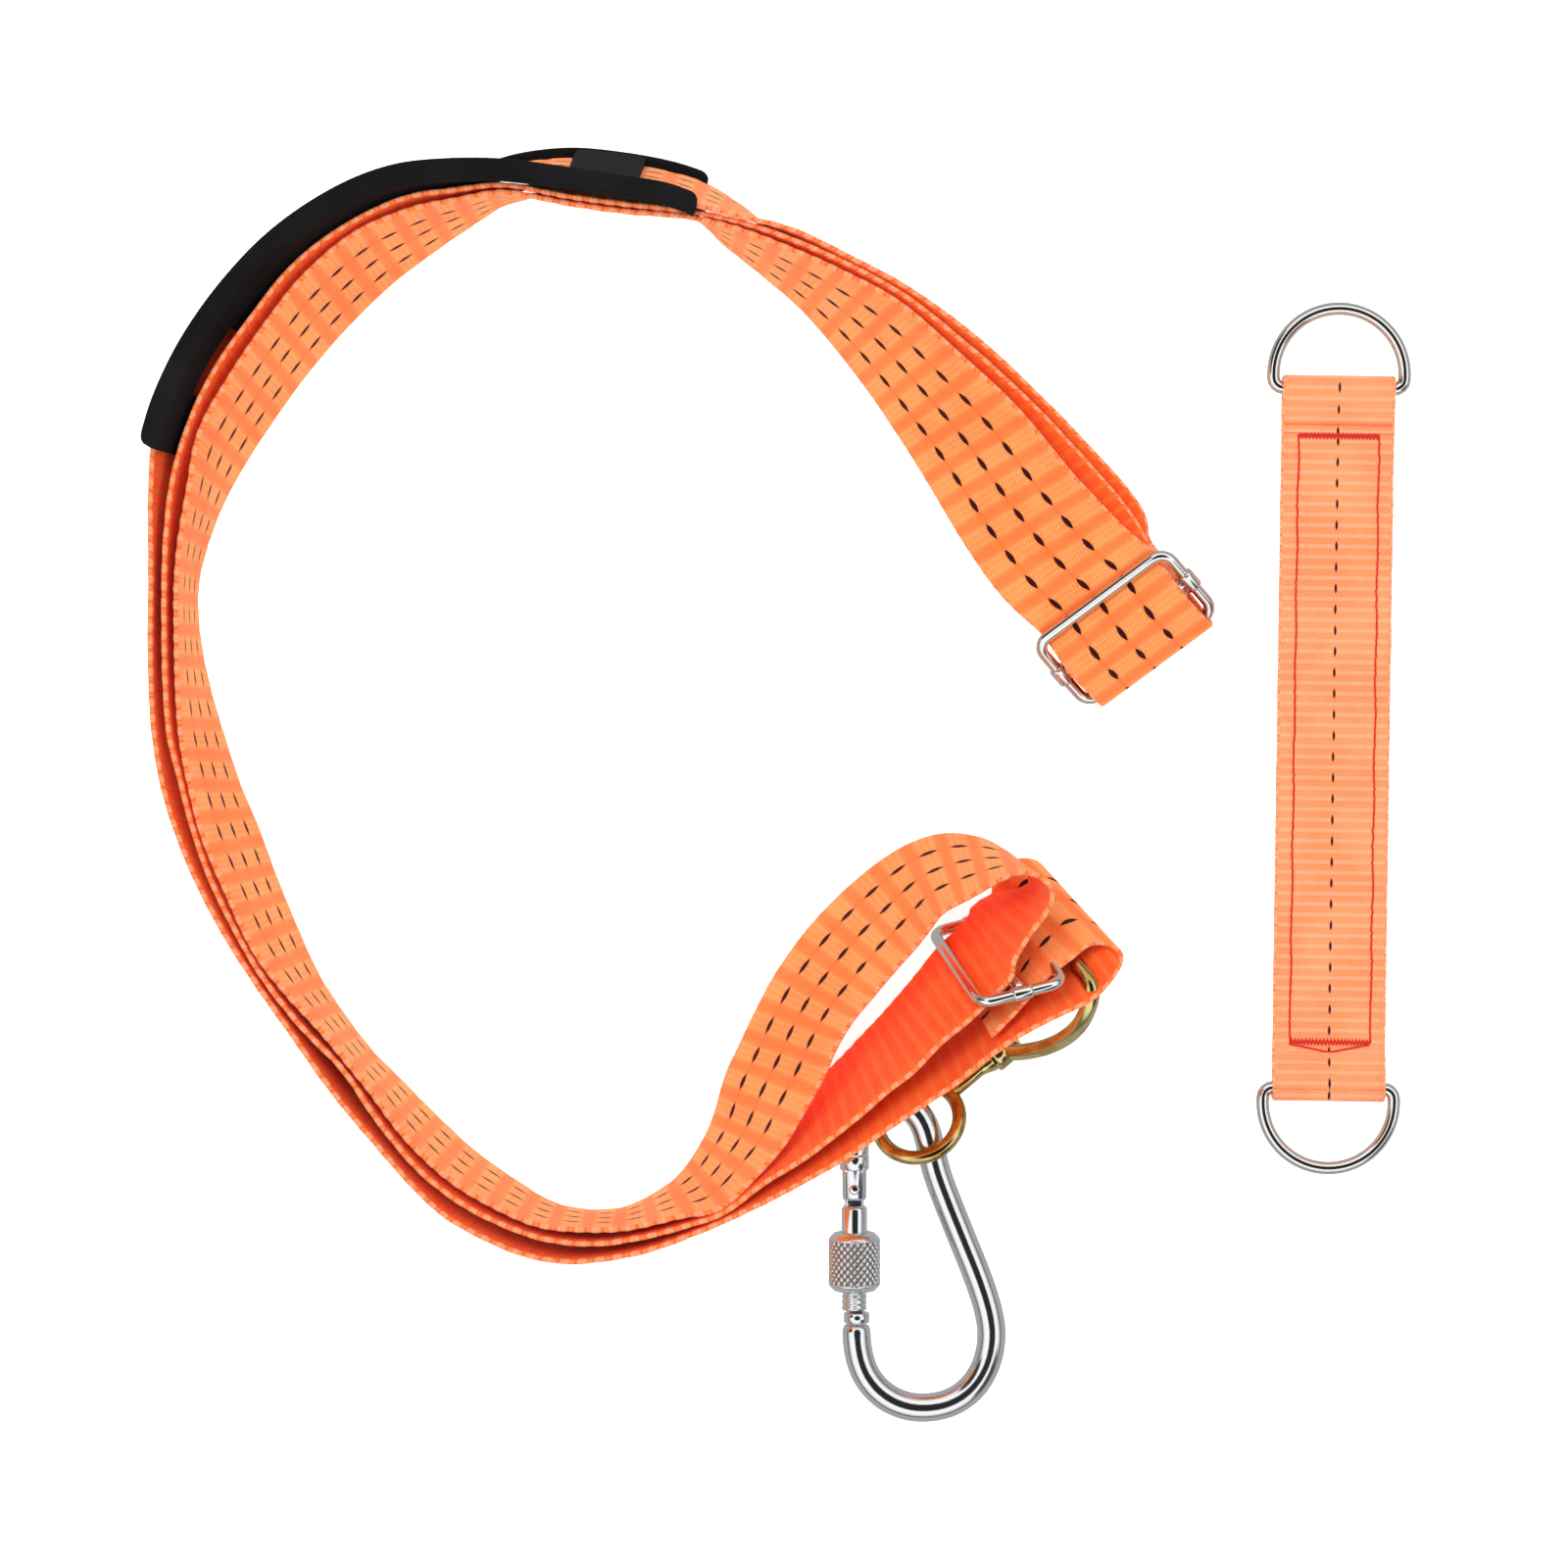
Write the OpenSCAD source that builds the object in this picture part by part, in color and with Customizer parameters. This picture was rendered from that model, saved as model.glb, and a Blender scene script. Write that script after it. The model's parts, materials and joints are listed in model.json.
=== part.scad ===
/* [Show] */
// Which sub-part to show

/* [Long strap] */
// Width of the long strap webbing, mm
web_width = 49; // [45:0.5:51]
// Thickness of the long strap webbing, mm
web_thick = 2; // [1.5:0.1:2.2]

/* [Wire sliders] */
// Wire diameter of the three-bar sliders, mm
slider_wire = 4; // [3:0.1:4]
// Length of a slider between its short sides, wire centre to centre, mm
slider_length = 56; // [56:0.1:57]
// Distance between the outer bars, wire centre to centre, mm
slider_depth = 30; // [29:0.1:31]

/* [Wear pad] */
// Height of the pad across the webbing, mm
pad_height = 57; // [55:0.5:60]
// How far the pad rails stand out from its inner face, mm
pad_rail = 8; // [6:0.5:11]
// Thickness of the pad base, mm
pad_base = 2.4; // [2:0.1:3]

/* [Swivel] */
// Wire diameter of the swivel bow, mm
bow_wire = 6; // [5:0.1:6]
// Wire diameter of the swivel ring, mm
ring_wire = 5; // [4:0.1:5]
// Centre-line radius of the swivel ring, mm
ring_radius = 14.5; // [14:0.1:15]

/* [Screw-gate carabiner] */
// Rod diameter of the carabiner, mm
rod = 10; // [9:0.1:10]
// Diameter of the gate tube, mm
gate_diameter = 9; // [8:0.1:9]
// Diameter of the knurled lock nut, mm
nut_diameter = 17.4; // [15:0.1:18]
// Length of the knurled lock nut, mm
nut_length = 21; // [18:0.5:22]

/* [Short strap] */
// Width of the short strap webbing, mm
short_width = 39.6; // [36:0.1:40]
// Wire diameter of the D-rings, mm
d_wire = 4.5; // [4:0.1:4.5]

/* [Hidden] */
$fn = 24;
slot_gap = 0.4;
orange = [1.0, 0.42, 0.16];
dark_thread = [0.78, 0.06, 0.03];
chrome = [0.78, 0.79, 0.80];
zinc = [0.82, 0.70, 0.35];
black = [0.12, 0.12, 0.13];

// ---- vector helpers ----
function unit(v) = v / norm(v);
function curve_point(a, b, c, d, t) =
  0.5 * ((2 * b) + (c - a) * t + (2 * a - 5 * b + 4 * c - d) * t * t
  + (3 * b - a - 3 * c + d) * t * t * t);
function at(list, i) = list[max(0, min(len(list) - 1, i))];
function smooth(list, n) = concat(
  [for (i = [0 : len(list) - 2]) for (j = [0 : n - 1])
    curve_point(at(list, i - 1), list[i], list[i + 1], at(list, i + 2), j / n)],
  [list[len(list) - 1]]);
function smooth_loop(list, n) = let (m = len(list))
  [for (i = [0 : m - 1]) for (j = [0 : n - 1])
    curve_point(list[(i + m - 1) % m], list[i], list[(i + 1) % m], list[(i + 2) % m], j / n)];

// ---- a webbing station is [low edge, high edge] packed as six numbers ----
function pack(p, q) = [p.x, p.y, p.z, q.x, q.y, q.z];
function low_of(s) = [s[0], s[1], s[2]];
function high_of(s) = [s[3], s[4], s[5]];
// A station from the plan position of both edges and the height of the low edge.
function st(xl, yl, xh, yh, h = 0) =
  let (plan = min(norm([xh - xl, yh - yl]), 0.985 * web_width),
       dir = unit([xh - xl, yh - yl]),
       z = h + 0.05 + web_thick / 2 * plan / web_width)
  [xl, yl, z, xl + dir.x * plan, yl + dir.y * plan, z + sqrt(web_width * web_width - plan * plan)];

// ---- local frames of the two sliders: u along the bars, v across them, n out of the face ----
slider_a_at = [119, 54.5, 17.5];
slider_a_u = unit([41.6, 30.9, 12]);
slider_a_v = unit([19.8, -21.5, -13] - slider_a_u * ([19.8, -21.5, -13] * slider_a_u));
slider_a_n = cross(slider_a_v, slider_a_u);
slider_b_at = [74, -60, 33];
slider_b_u = unit([15.5, -23.4, 48.4]);
slider_b_v = unit([30.4, 7.8, -6] - slider_b_u * ([30.4, 7.8, -6] * slider_b_u));
slider_b_n = cross(slider_b_u, slider_b_v);
function on_a(u, v, n) = slider_a_at + slider_a_u * u + slider_a_v * v + slider_a_n * n;
function on_b(u, v, n) = slider_b_at + slider_b_u * u + slider_b_v * v + slider_b_n * n;
function sa(v, n, du = 0) = pack(on_a(du - web_width / 2, v, n), on_a(du + web_width / 2, v, n));
function sb(v, n) = pack(on_b(-web_width / 2, v, n), on_b(web_width / 2, v, n));

// ---- routes of the long strap, from one sewn end to the other ----
route_sewn_end = [
  sa(-34, -21.8), sa(-28, -18.8), sa(-22, -14), sa(-16, -9.6), sa(-7, -5.4), sa(-2.5, -3.6), sa(0.5, -3.4),
  sa(2.9, -2), sa(3.5, 0.2), sa(2.6, 2.5), sa(0.3, 3.5), sa(-3, 2.6), sa(-9, -3), sa(-16, -7)];

route_middle = [
  sa(-16, -7), st(81, 68, 121, 94.5, 9), st(67, 89.5, 105.5, 112.5, 3.4),
  st(51.5, 112, 86.5, 132, 2), st(37.5, 134, 63.5, 152, 1.2), st(23, 152.5, 43, 168, 0.6),
  st(9.5, 168.5, 22, 179.5), st(-4, 180, 1, 188.5), st(-17, 191, -16.5, 194),
  st(-34, 204.5, -34.5, 197.3), st(-53, 208.5, -54.5, 199.5), st(-74, 210.8, -75.5, 202.4),
  st(-96, 208.3, -96.5, 204.8), st(-112, 202, -114, 204.6), st(-125, 193, -131, 202),
  st(-141, 180, -150.4, 193.2), st(-157, 164, -169, 179.5), st(-172, 146.5, -184, 161),
  st(-185, 129, -196.5, 143), st(-194.5, 112, -205.5, 124), st(-202, 96.8, -210.8, 105),
  st(-206.5, 82, -213, 86), st(-209, 68, -213.6, 68.5), st(-208.5, 51, -213.6, 51),
  st(-205.5, 33.5, -213.3, 34), st(-200.5, 16, -212, 16.5), st(-195, -1.5, -208.5, 2),
  st(-188.5, -19, -204.5, -14), st(-181.5, -37, -198.8, -31), st(-174.3, -54.8, -190.5, -48.5),
  st(-166.8, -72, -180, -66.5), st(-157, -87.5, -166.3, -83.8), st(-145.5, -101, -152, -98.5),
  st(-132.5, -113, -140.5, -115.5), st(-118.5, -127, -127, -132), st(-105, -137.5, -113, -143.5),
  st(-90.5, -147, -98, -151.5), st(-75, -152.5, -82, -157), st(-61, -154.3, -64.5, -158.5),
  st(-47, -151, -47.5, -156), st(-37, -145, -34, -152.5), st(-27, -136, -20.5, -148),
  st(-14, -124, -7, -138), st(2, -112, 7, -129.5), st(13.5, -102.5, 17.5, -121.5, 1),
  st(20.5, -96, 27.5, -113.5, 1.5), st(27.5, -88.5, 36, -106, 2.5), st(34, -81.5, 44.5, -99.5, 4),
  st(41, -73.5, 54, -89.5, 6.5), st(48, -65, 61.5, -83.5, 9)];

route_hairpin = [
  st(48, -65, 61.5, -83.5, 9), sb(-16, -5.6), sb(-8, 0), sb(-1, 5.4),
  st(65, -44, 78.5, -62, 13.8), st(71, -39.5, 85, -51, 15.4), st(78, -37.5, 90, -44, 18),
  st(83.5, -37, 92, -38.5, 20), st(86.5, -33.6, 90.6, -34, 20), st(84, -29.5, 86.2, -30.8, 19)];

route_arch = [
  st(84, -29.5, 86.2, -30.8, 19), st(77, -23.5, 79.5, -30.5, 16.5),
  st(68.5, -19, 71.5, -34.5, 13), st(56.5, -17.5, 62.8, -39.8, 9), st(44.5, -20.8, 54.5, -44.4, 6.5),
  st(34, -27, 50.5, -50, 4), st(24, -35, 45, -57, 2.4), st(13.7, -45, 38, -65, 1),
  st(5.5, -54.6, 31.7, -72.5), st(-3, -67, 24.6, -81), st(-10, -80, 18.8, -90),
  st(-17, -94.7, 13, -103), st(-20.5, -102.5, 7.5, -112.6), st(-24, -115, 1, -123.6)];

route_inner = [
  st(-24, -115, 1, -123.6), st(-27.3, -123.4, -6.8, -132.6), st(-34, -134.3, -21.5, -146.5),
  st(-41, -141.3, -34.5, -148.8), st(-54.6, -148.7, -53.6, -153), st(-68.3, -150, -68.3, -153.6),
  st(-82, -147, -84.5, -152), st(-95.6, -138.6, -100, -145.5), st(-109, -129, -115, -136.5),
  st(-123, -116, -130, -122.5), st(-136.5, -102.4, -142, -106.5), st(-143.5, -95.6, -148, -99),
  st(-153.2, -83.3, -159, -85.6), st(-163.5, -67.5, -172.5, -71), st(-171, -51, -183, -57),
  st(-178, -34, -192, -38), st(-185, -15, -200.5, -18), st(-191, -1, -205, 0),
  st(-197, 17, -208, 17), st(-202, 34, -209, 34.5), st(-205.5, 51.5, -209.3, 51),
  st(-206.3, 68, -209.3, 68.5), st(-203.4, 82, -208, 84.3), st(-198.2, 96.2, -205, 102.5),
  st(-191, 110, -201.5, 121.5), st(-181, 125.5, -192, 139), st(-168.5, 143, -180, 157),
  st(-153.5, 160.5, -165.5, 175.5), st(-137.5, 176, -148, 190), st(-122.5, 187.5, -129, 198),
  st(-109.5, 196.5, -113, 201.2), st(-96, 203, -96, 202), st(-74, 207.8, -75, 199.8),
  st(-53.5, 205.7, -54.5, 196.9), st(-34, 201, -34.5, 194.8), st(-20, 188.6, -18.5, 191.5),
  st(-7, 178.5, -0.5, 185.5, 0.6), st(7, 166, 19.5, 176.8, 1.6), st(20.5, 150, 40, 166, 3),
  st(34, 131.5, 59.5, 149.5, 4.2), st(48, 109.5, 81.5, 129.5, 6), st(61.5, 86.5, 99.5, 108.5, 8.2),
  st(76, 65.5, 116, 91.5, 13), sa(-16, -3.7)];

route_bight = [
  sa(-16, -3.7), sa(-12.5, -2.3), sa(-9, 0.6), sa(-3, 5.2), sa(1.5, 6), sa(8, 4.7), sa(14, 3.5), sa(17.4, 2.9),
  sa(18.5, 0), sa(17.4, -2.9), sa(14, -3.6), sa(8, -5), sa(0, -7.4), sa(-8, -10.4), sa(-16, -13.2)];

route_pad_run = [
  sa(-16, -13.2), st(84.5, 70.5, 125, 96.5, 4.5), st(70.5, 91.5, 109.5, 114.5, 1),
  st(54.5, 113.5, 90, 134, 0), st(39.8, 135.6, 67, 154.5), st(25, 154, 44.5, 170.5),
  st(11.5, 171, 23.5, 181.5), st(0.5, 187, 3, 191.5, 1), st(-11, 200, -13.5, 196.5, 4),
  st(-26, 210, -29, 200.6, 5.6), st(-39, 213.5, -41, 203, 5.6), st(-56.5, 216.8, -58, 205.8, 5.6),
  st(-76, 218.5, -77, 208.6, 5.6), st(-96, 216, -97, 210.8, 5.6), st(-113, 209.5, -115.5, 210.6, 5.6),
  st(-130, 202, -134, 208.2, 5.6), st(-146.5, 191, -153, 200.5, 5.6), st(-162.5, 176.5, -173, 187, 5.6),
  st(-177, 160, -189.5, 170, 5.6), st(-188.5, 143, -203, 151, 5.6), st(-197.5, 126.5, -212.5, 131.5, 5.6),
  st(-203.5, 112, -217.5, 114.5, 5.6)];

route_outer = [
  st(-203.5, 112, -217.5, 114.5, 5.6), st(-208.5, 97, -218.2, 97.5, 3), st(-212.5, 82, -218.2, 82, 1),
  st(-214.5, 68.3, -218.2, 68.3), st(-213.3, 50.5, -218.4, 51), st(-210, 32.5, -218.2, 34),
  st(-205, 15, -217.3, 17.5), st(-199.5, -3, -214.5, 0), st(-193, -21, -209.5, -17),
  st(-185.5, -38.5, -202.5, -34), st(-178, -55.5, -193.5, -51), st(-170, -72.5, -183, -67.5),
  st(-160, -88.5, -169.5, -86.5), st(-149.5, -103, -155.8, -105.8), st(-136, -117.5, -142, -122.5),
  st(-122, -131, -128.5, -138), st(-107.5, -142.5, -116.7, -149), st(-93, -152, -102, -157.2),
  st(-81, -156.5, -88.5, -162.5), st(-69, -159, -74.7, -164.7), st(-57.5, -158, -61, -163.6),
  st(-46.5, -155, -47, -160.8), st(-34.5, -149, -33.4, -156), st(-24.5, -140, -19.8, -150.5),
  st(-11, -129.5, -6, -144), st(4.5, -118, 7.5, -137), st(15, -106.6, 20.5, -129.7, 1),
  st(26.7, -96.8, 34, -120.5, 2.4), st(39.6, -87.7, 47.8, -111.3, 3.4), st(52.5, -82, 59.7, -103.1, 5)];

route_loop = [
  st(52.5, -82, 59.7, -103.1, 5), st(64, -73, 71.7, -93.2, 7.2), st(75, -63.5, 83.6, -85.3, 9.2),
  st(83.5, -54, 95.6, -79.5, 10.5), st(89.5, -44, 107, -74, 10.5), st(92, -35, 114, -67, 9.5),
  st(90, -28.5, 117.6, -60.5, 9), st(84, -26, 114, -56.5, 9.5), st(77, -28.5, 106.5, -55.5, 9.2),
  st(73, -34.5, 100, -60, 9.6), st(72.5, -43, 92.5, -65, 9.2), st(70, -54, 85.7, -72, 8),
  st(66, -61.5, 79, -79.5, 7.4), st(61.5, -69, 71, -87.5, 7)];

// ---- swept solids ----
// Frames along a route: middle point, unit direction across the webbing, unit face normal.
function frames(s) = [for (i = [0 : len(s) - 1])
  let (m = (low_of(s[i]) + high_of(s[i])) / 2,
       ahead = at(s, i + 1),
       back = at(s, i - 1),
       run = unit((low_of(ahead) + high_of(ahead) - low_of(back) - high_of(back)) / 2),
       w = unit(high_of(s[i]) - low_of(s[i])),
       n = unit(cross(run, w)))
  [m, w, n]];

// Solid between end caps through rings of equal point count. Rings that run clockwise need turned faces.
module rings_solid(rings, closed = false, turned = false) {
  n = len(rings[0]);
  m = len(rings);
  last = closed ? m - 1 : m - 2;
  sides = [for (i = [0 : last]) for (j = [0 : n - 1])
    let (a = i * n + j, b = i * n + (j + 1) % n, c = ((i + 1) % m) * n + (j + 1) % n, d = ((i + 1) % m) * n + j)
    each [[a, b, c], [a, c, d]]];
  caps = closed ? [] : [[for (j = [n - 1 : -1 : 0]) j], [for (j = [0 : n - 1]) (m - 1) * n + j]];
  faces = [for (f = concat(sides, caps)) turned ? [for (k = [len(f) - 1 : -1 : 0]) f[k]] : f];
  polyhedron(points = [for (r = rings) each r], faces = faces, convexity = 10);
}

// Sweep of a flat section given as [across, outward] pairs.
module strip(route, n, section) {
  f = frames(smooth(route, n));
  rings_solid([for (k = f) [for (p = section) k[0] + k[1] * p[0] + k[2] * p[1]]], false, true);
}

web_section = let (h = web_thick / 2, w = web_width / 2, e = 0.7)
  [[-w, 0], [-w + e, -h], [w - e, -h], [w, 0], [w - e, h], [-w + e, h]];

module web(route, n = 3) {
  strip(route, n, web_section);
}

// Round wire along a list of points.
function wire_rings(p, r, sides, closed) = let (m = len(p)) [for (i = [0 : m - 1])
  let (a = closed ? p[(i + m - 1) % m] : at(p, i - 1),
       b = closed ? p[(i + 1) % m] : at(p, i + 1),
       t = unit(b - a),
       x = unit(cross(t, abs(t.z) < 0.9 ? [0, 0, 1] : [1, 0, 0])),
       y = cross(t, x))
  [for (k = [sides - 1 : -1 : 0]) p[i] + (x * cos(360 * k / sides) + y * sin(360 * k / sides)) * r]];

module wire(p, r, closed = false, sides = 16) {
  rings_solid(wire_rings(p, r, sides, closed), closed);
}

// Places children drawn in u, v, n coordinates into a slider frame.
module in_frame(origin, u, v, n) {
  multmatrix([
    [u.x, v.x, n.x, origin.x],
    [u.y, v.y, n.y, origin.y],
    [u.z, v.z, n.z, origin.z],
    [0, 0, 0, 1]]) children();
}

// Brings the whole set to the middle of the frame.
centre_shift = [1.4, 0.1, 0];
module placed() translate(centre_shift) children();

// ---- long strap ----
module strap_sewn_end() color(orange) placed() web(route_sewn_end);
module strap_middle_run() color(orange) placed() web(route_middle, 2);
module strap_hairpin() color(orange) placed() web(route_hairpin);
module strap_arch() color(orange) placed() web(route_arch, 2);
module strap_inner_run() color(orange) placed() web(route_inner, 2);
module strap_bight() color(orange) placed() web(route_bight);
module strap_pad_run() color(orange) placed() web(route_pad_run, 3);
module strap_outer_run() color(orange) placed() web(route_outer, 2);
module strap_swivel_loop() color(orange) placed() web(route_loop, 3);

// ---- wire sliders ----
corner = 5;
module slider_frame() {
  a = slider_length / 2;
  b = slider_depth / 2;
  for (s = [-1, 1]) {
    translate([0, s * b, 0]) rotate([0, 90, 0]) cylinder(d = slider_wire, h = 2 * (a - corner), center = true);
    translate([s * a, 0, 0]) rotate([90, 0, 0]) cylinder(d = slider_wire, h = 2 * (b - corner), center = true);
  }
  for (q = [0 : 3]) {
    sx = q == 0 || q == 3 ? 1 : -1;
    sy = q < 2 ? 1 : -1;
    translate([sx * (a - corner), sy * (b - corner), 0]) rotate([0, 0, q * 90])
      rotate_extrude(angle = 90) translate([corner, 0]) circle(d = slider_wire);
  }
}

module slider_bar() {
  a = slider_length / 2;
  reach = a - slider_wire / 2 - 0.5;
  rotate([0, 90, 0]) cylinder(d = slider_wire, h = 2 * reach, center = true);
  for (s = [-1, 1]) translate([s * a, 0, 0]) rotate([90, 0, 0]) difference() {
    cylinder(d = slider_wire + 1.8, h = 7, center = true);
    cylinder(d = slider_wire + 0.1, h = 8, center = true);
  }
}

module slider_a_frame() color(chrome) placed() in_frame(slider_a_at, slider_a_u, -slider_a_v, slider_a_n) slider_frame();
module slider_a_bar() color(chrome) placed() in_frame(slider_a_at, slider_a_u, -slider_a_v, slider_a_n) slider_bar();
module slider_b_frame() color(chrome) placed() in_frame(slider_b_at, slider_b_u, slider_b_v, slider_b_n) slider_frame();
module slider_b_bar() color(chrome) placed() in_frame(slider_b_at, slider_b_u, slider_b_v, slider_b_n) slider_bar();

// ---- swivel ----
bow_path = [
  [87.4, -40, 12], [90.2, -47.8, 21], [95.4, -55.2, 30.5], [102, -63.8, 39], [106.5, -70, 42], [105, -78, 40],
  [101, -85.5, 33], [93, -91, 24], [84, -93.5, 14], [76, -93.5, 6], [72, -85, 3.8], [74.5, -70, 3.6],
  [80.5, -58, 3.6], [85, -50, 3.8], [87.3, -44, 6]];
neck_at = [76, -93.5, 6];
ring_at = [47, -117.5, 12.3];
stem_dir = unit([ring_at.x - neck_at.x, ring_at.y - neck_at.y, ring_at.z - neck_at.z]);
ring_side = unit([0.645, -0.765, 0] - stem_dir * ([0.645, -0.765, 0] * stem_dir));
ring_up = cross(stem_dir, ring_side);
ring_tilt = -30;

module along(origin, dir) {
  x = unit(cross(abs(dir.z) < 0.9 ? [0, 0, 1] : [1, 0, 0], dir));
  in_frame(origin, x, cross(dir, x), dir) children();
}

module swivel_bow() color(zinc) placed() {
  difference() {
    union() {
      wire(smooth_loop(bow_path, 3), bow_wire / 2, true);
      along(neck_at + stem_dir * 1, stem_dir) cylinder(d = 10.5, h = 7, center = true);
    }
    along(neck_at, stem_dir) cylinder(d = 5.1, h = 30, center = true);
  }
}

module in_ring_frame() {
  c = cos(ring_tilt);
  s = sin(ring_tilt);
  side = ring_side * c - ring_up * s;
  top = ring_up * c + ring_side * s;
  in_frame(ring_at, stem_dir, side, top) children();
}

module swivel_ring() color(zinc) placed() {
  in_ring_frame() rotate_extrude($fn = 48) translate([ring_radius, 0]) circle(d = ring_wire, $fn = 16);
  reach = norm(ring_at - neck_at) - ring_radius;
  along(neck_at - stem_dir * 6.8, stem_dir) cylinder(d = 5, h = reach + 6.8 + 0.5);
  along(neck_at + stem_dir * 5, stem_dir) cylinder(d1 = 8.5, d2 = 5.5, h = 4);
}

module swivel_washer() color(zinc) placed() along(neck_at - stem_dir * 5.9, stem_dir) difference() {
  cylinder(d = 7.6, h = 1.6, center = true);
  cylinder(d = 5.1, h = 4, center = true);
}

// ---- carabiner, drawn flat in x and y and tipped about its lower bow ----
tip = 4.3;
big_at = [49.5, -195.5];
gate_x = 24.6;
pivot_y = -141;
gate_end = -184;
rod_path = [
  [25.4, -188], [25.5, -196], [28, -206], [34, -213.6], [42, -217.8], [50, -218.6], [58.5, -216.8],
  [66, -211.5], [71, -203], [72.8, -193], [71.5, -184], [68, -173], [62.8, -160], [57.2, -146],
  [53, -134.5], [51, -125.5], [48.6, -117.4], [43.5, -111.7], [36.5, -109.4], [29.8, -111.2], [26, -116.6],
  [24.7, -123.5], [24.6, -131]];

module carabiner_frame() {
  translate([0, -218.6, rod / 2 + 0.4]) rotate([tip, 0, 0]) translate([0, 218.6, 0]) children();
}

module carabiner_body() color(chrome) placed() carabiner_frame() difference() {
  union() {
    wire(smooth([for (p = rod_path) [p.x, p.y, 0]], 3), rod / 2);
    translate([gate_x, -132.5, 0]) rotate([90, 0, 0]) cylinder(d = rod, h = 4, center = true);
    translate([gate_x, -139, 0]) cube([8, 12, 8.4], center = true);
    translate([25.4, -186.6, 0]) rotate([90, 0, 0]) cylinder(d = gate_diameter, h = 3.6, center = true);
    translate([25.2, -182.9, 0]) cube([5.4, 5.2, 2.6], center = true);
  }
  translate([gate_x, -142.2, 0]) cube([12, 13, 4.6], center = true);
  translate([gate_x, pivot_y, 0]) cylinder(d = 3, h = 12, center = true);
}

module carabiner_gate() color(chrome) placed() carabiner_frame() difference() {
  union() {
    translate([gate_x, (pivot_y - 6.2 + gate_end) / 2, 0]) rotate([90, 0, 0])
      cylinder(d = gate_diameter, h = pivot_y - 6.2 - gate_end, center = true);
    translate([gate_x, pivot_y - 3.5, 0]) cube([6.6, 9, 4], center = true);
    translate([gate_x, pivot_y + 0.5, 0]) cylinder(d = 6.6, h = 4, center = true);
  }
  translate([gate_x, pivot_y, 0]) cylinder(d = 3.1, h = 10, center = true);
  translate([gate_x, gate_end + 4, 0]) cube([12, 10, 3.2], center = true);
  translate([gate_x, pivot_y - 12.4, 0]) rotate([90, 0, 0]) cylinder(d = 5, h = 12, center = true);
}

module gate_rivet() color(chrome) placed() carabiner_frame() translate([gate_x, pivot_y, 0]) {
  cylinder(d = 3, h = 9.2, center = true);
  for (s = [-1, 1]) translate([0, 0, s * 4.7]) cylinder(d = 3.8, h = 0.8, center = true);
}

// The coil spring, as the sleeve it fills inside the gate.
module gate_spring() color(chrome) placed() carabiner_frame() translate([gate_x, pivot_y - 12.9, 0]) rotate([90, 0, 0])
  difference() {
    cylinder(d = 4.4, h = 8.2, center = true);
    cylinder(d = 3.2, h = 9, center = true);
  }

module gate_plunger() color(chrome) placed() carabiner_frame() translate([gate_x, pivot_y - 7.4, 0]) rotate([90, 0, 0]) {
  cylinder(d = 4.6, h = 1.6, center = true);
}

nut_mid = -166.9;
module lock_nut() color(chrome) placed() carabiner_frame() translate([gate_x, nut_mid, 0]) rotate([90, 0, 0]) difference() {
  union() {
    cylinder(d = nut_diameter, h = nut_length - 6, center = true);
    for (s = [-1, 1]) rotate([s > 0 ? 0 : 180, 0, 0]) translate([0, 0, nut_length / 2 - 3.02])
      cylinder(d1 = nut_diameter, d2 = nut_diameter - 5, h = 3);
  }
  cylinder(d = gate_diameter + 0.2, h = nut_length + 2, center = true);
}

// ---- short strap with a D-ring in each end ----
short_top = 143;
short_bottom = -111.5;
short_lean = -0.85;
short_mid = [192.6, 16];
lap = 2.05;
short_thick = 2;

module short_frame() {
  translate([short_mid.x, short_mid.y, 0]) rotate([0, 0, short_lean]) children();
}

bar_in = 4.65;
y_end = (short_top - short_bottom) / 2;
bar_z = d_wire / 2 + 0.35 + short_thick + 0.05;
// Side profile of one ply, as [along, height] centre-line points.
function ply_path(top) = top
  ? [[-y_end + bar_in, bar_z + 3.6], [-y_end + 9, bar_z + 3.5], [-y_end + 16, bar_z + 0.6], [-y_end + 26, 3.45],
     [0, 3.4], [y_end - 26, 3.45], [y_end - 16, bar_z + 0.6], [y_end - 9, bar_z + 3.5], [y_end - bar_in, bar_z + 3.6]]
  : [[-y_end + bar_in, bar_z + 3.6], [-y_end + 2.1, bar_z + 2.55], [-y_end + 1, bar_z], [-y_end + 2.1, bar_z - 2.55],
     [-y_end + bar_in, bar_z - 3.6], [-y_end + 12, 1], [0, 1], [y_end - 12, 1], [y_end - bar_in, bar_z - 3.6],
     [y_end - 2.1, bar_z - 2.55], [y_end - 1, bar_z], [y_end - 2.1, bar_z + 2.55], [y_end - bar_in, bar_z + 3.6]];

module ply(top) {
  w = short_width / 2;
  route = [for (p = ply_path(top)) pack([-w, p.x, p.y], [w, p.x, p.y])];
  h = short_thick / 2;
  short_frame() strip(route, 3, [[-w, 0], [-w + 0.6, -h], [w - 0.6, -h], [w, 0], [w - 0.6, h], [-w + 0.6, h]]);
}
module short_webbing_top() color(orange) placed() ply(true);
module short_webbing_base() color(orange) placed() ply(false);

module short_stitching() color(dark_thread) placed() short_frame() {
  z = 4.4;
  for (s = [-1, 1]) {
    translate([s * 14, 0, z]) cube([0.7, 213, 0.5], center = true);
    translate([0, s * 106.5, z]) cube([27, 2.2, 0.6], center = true);
  }
  for (s = [-1, 1]) translate([s * 6.6, -108.6, z]) rotate([0, 0, s * 12]) cube([13.4, 0.7, 0.5], center = true);
}

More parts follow.
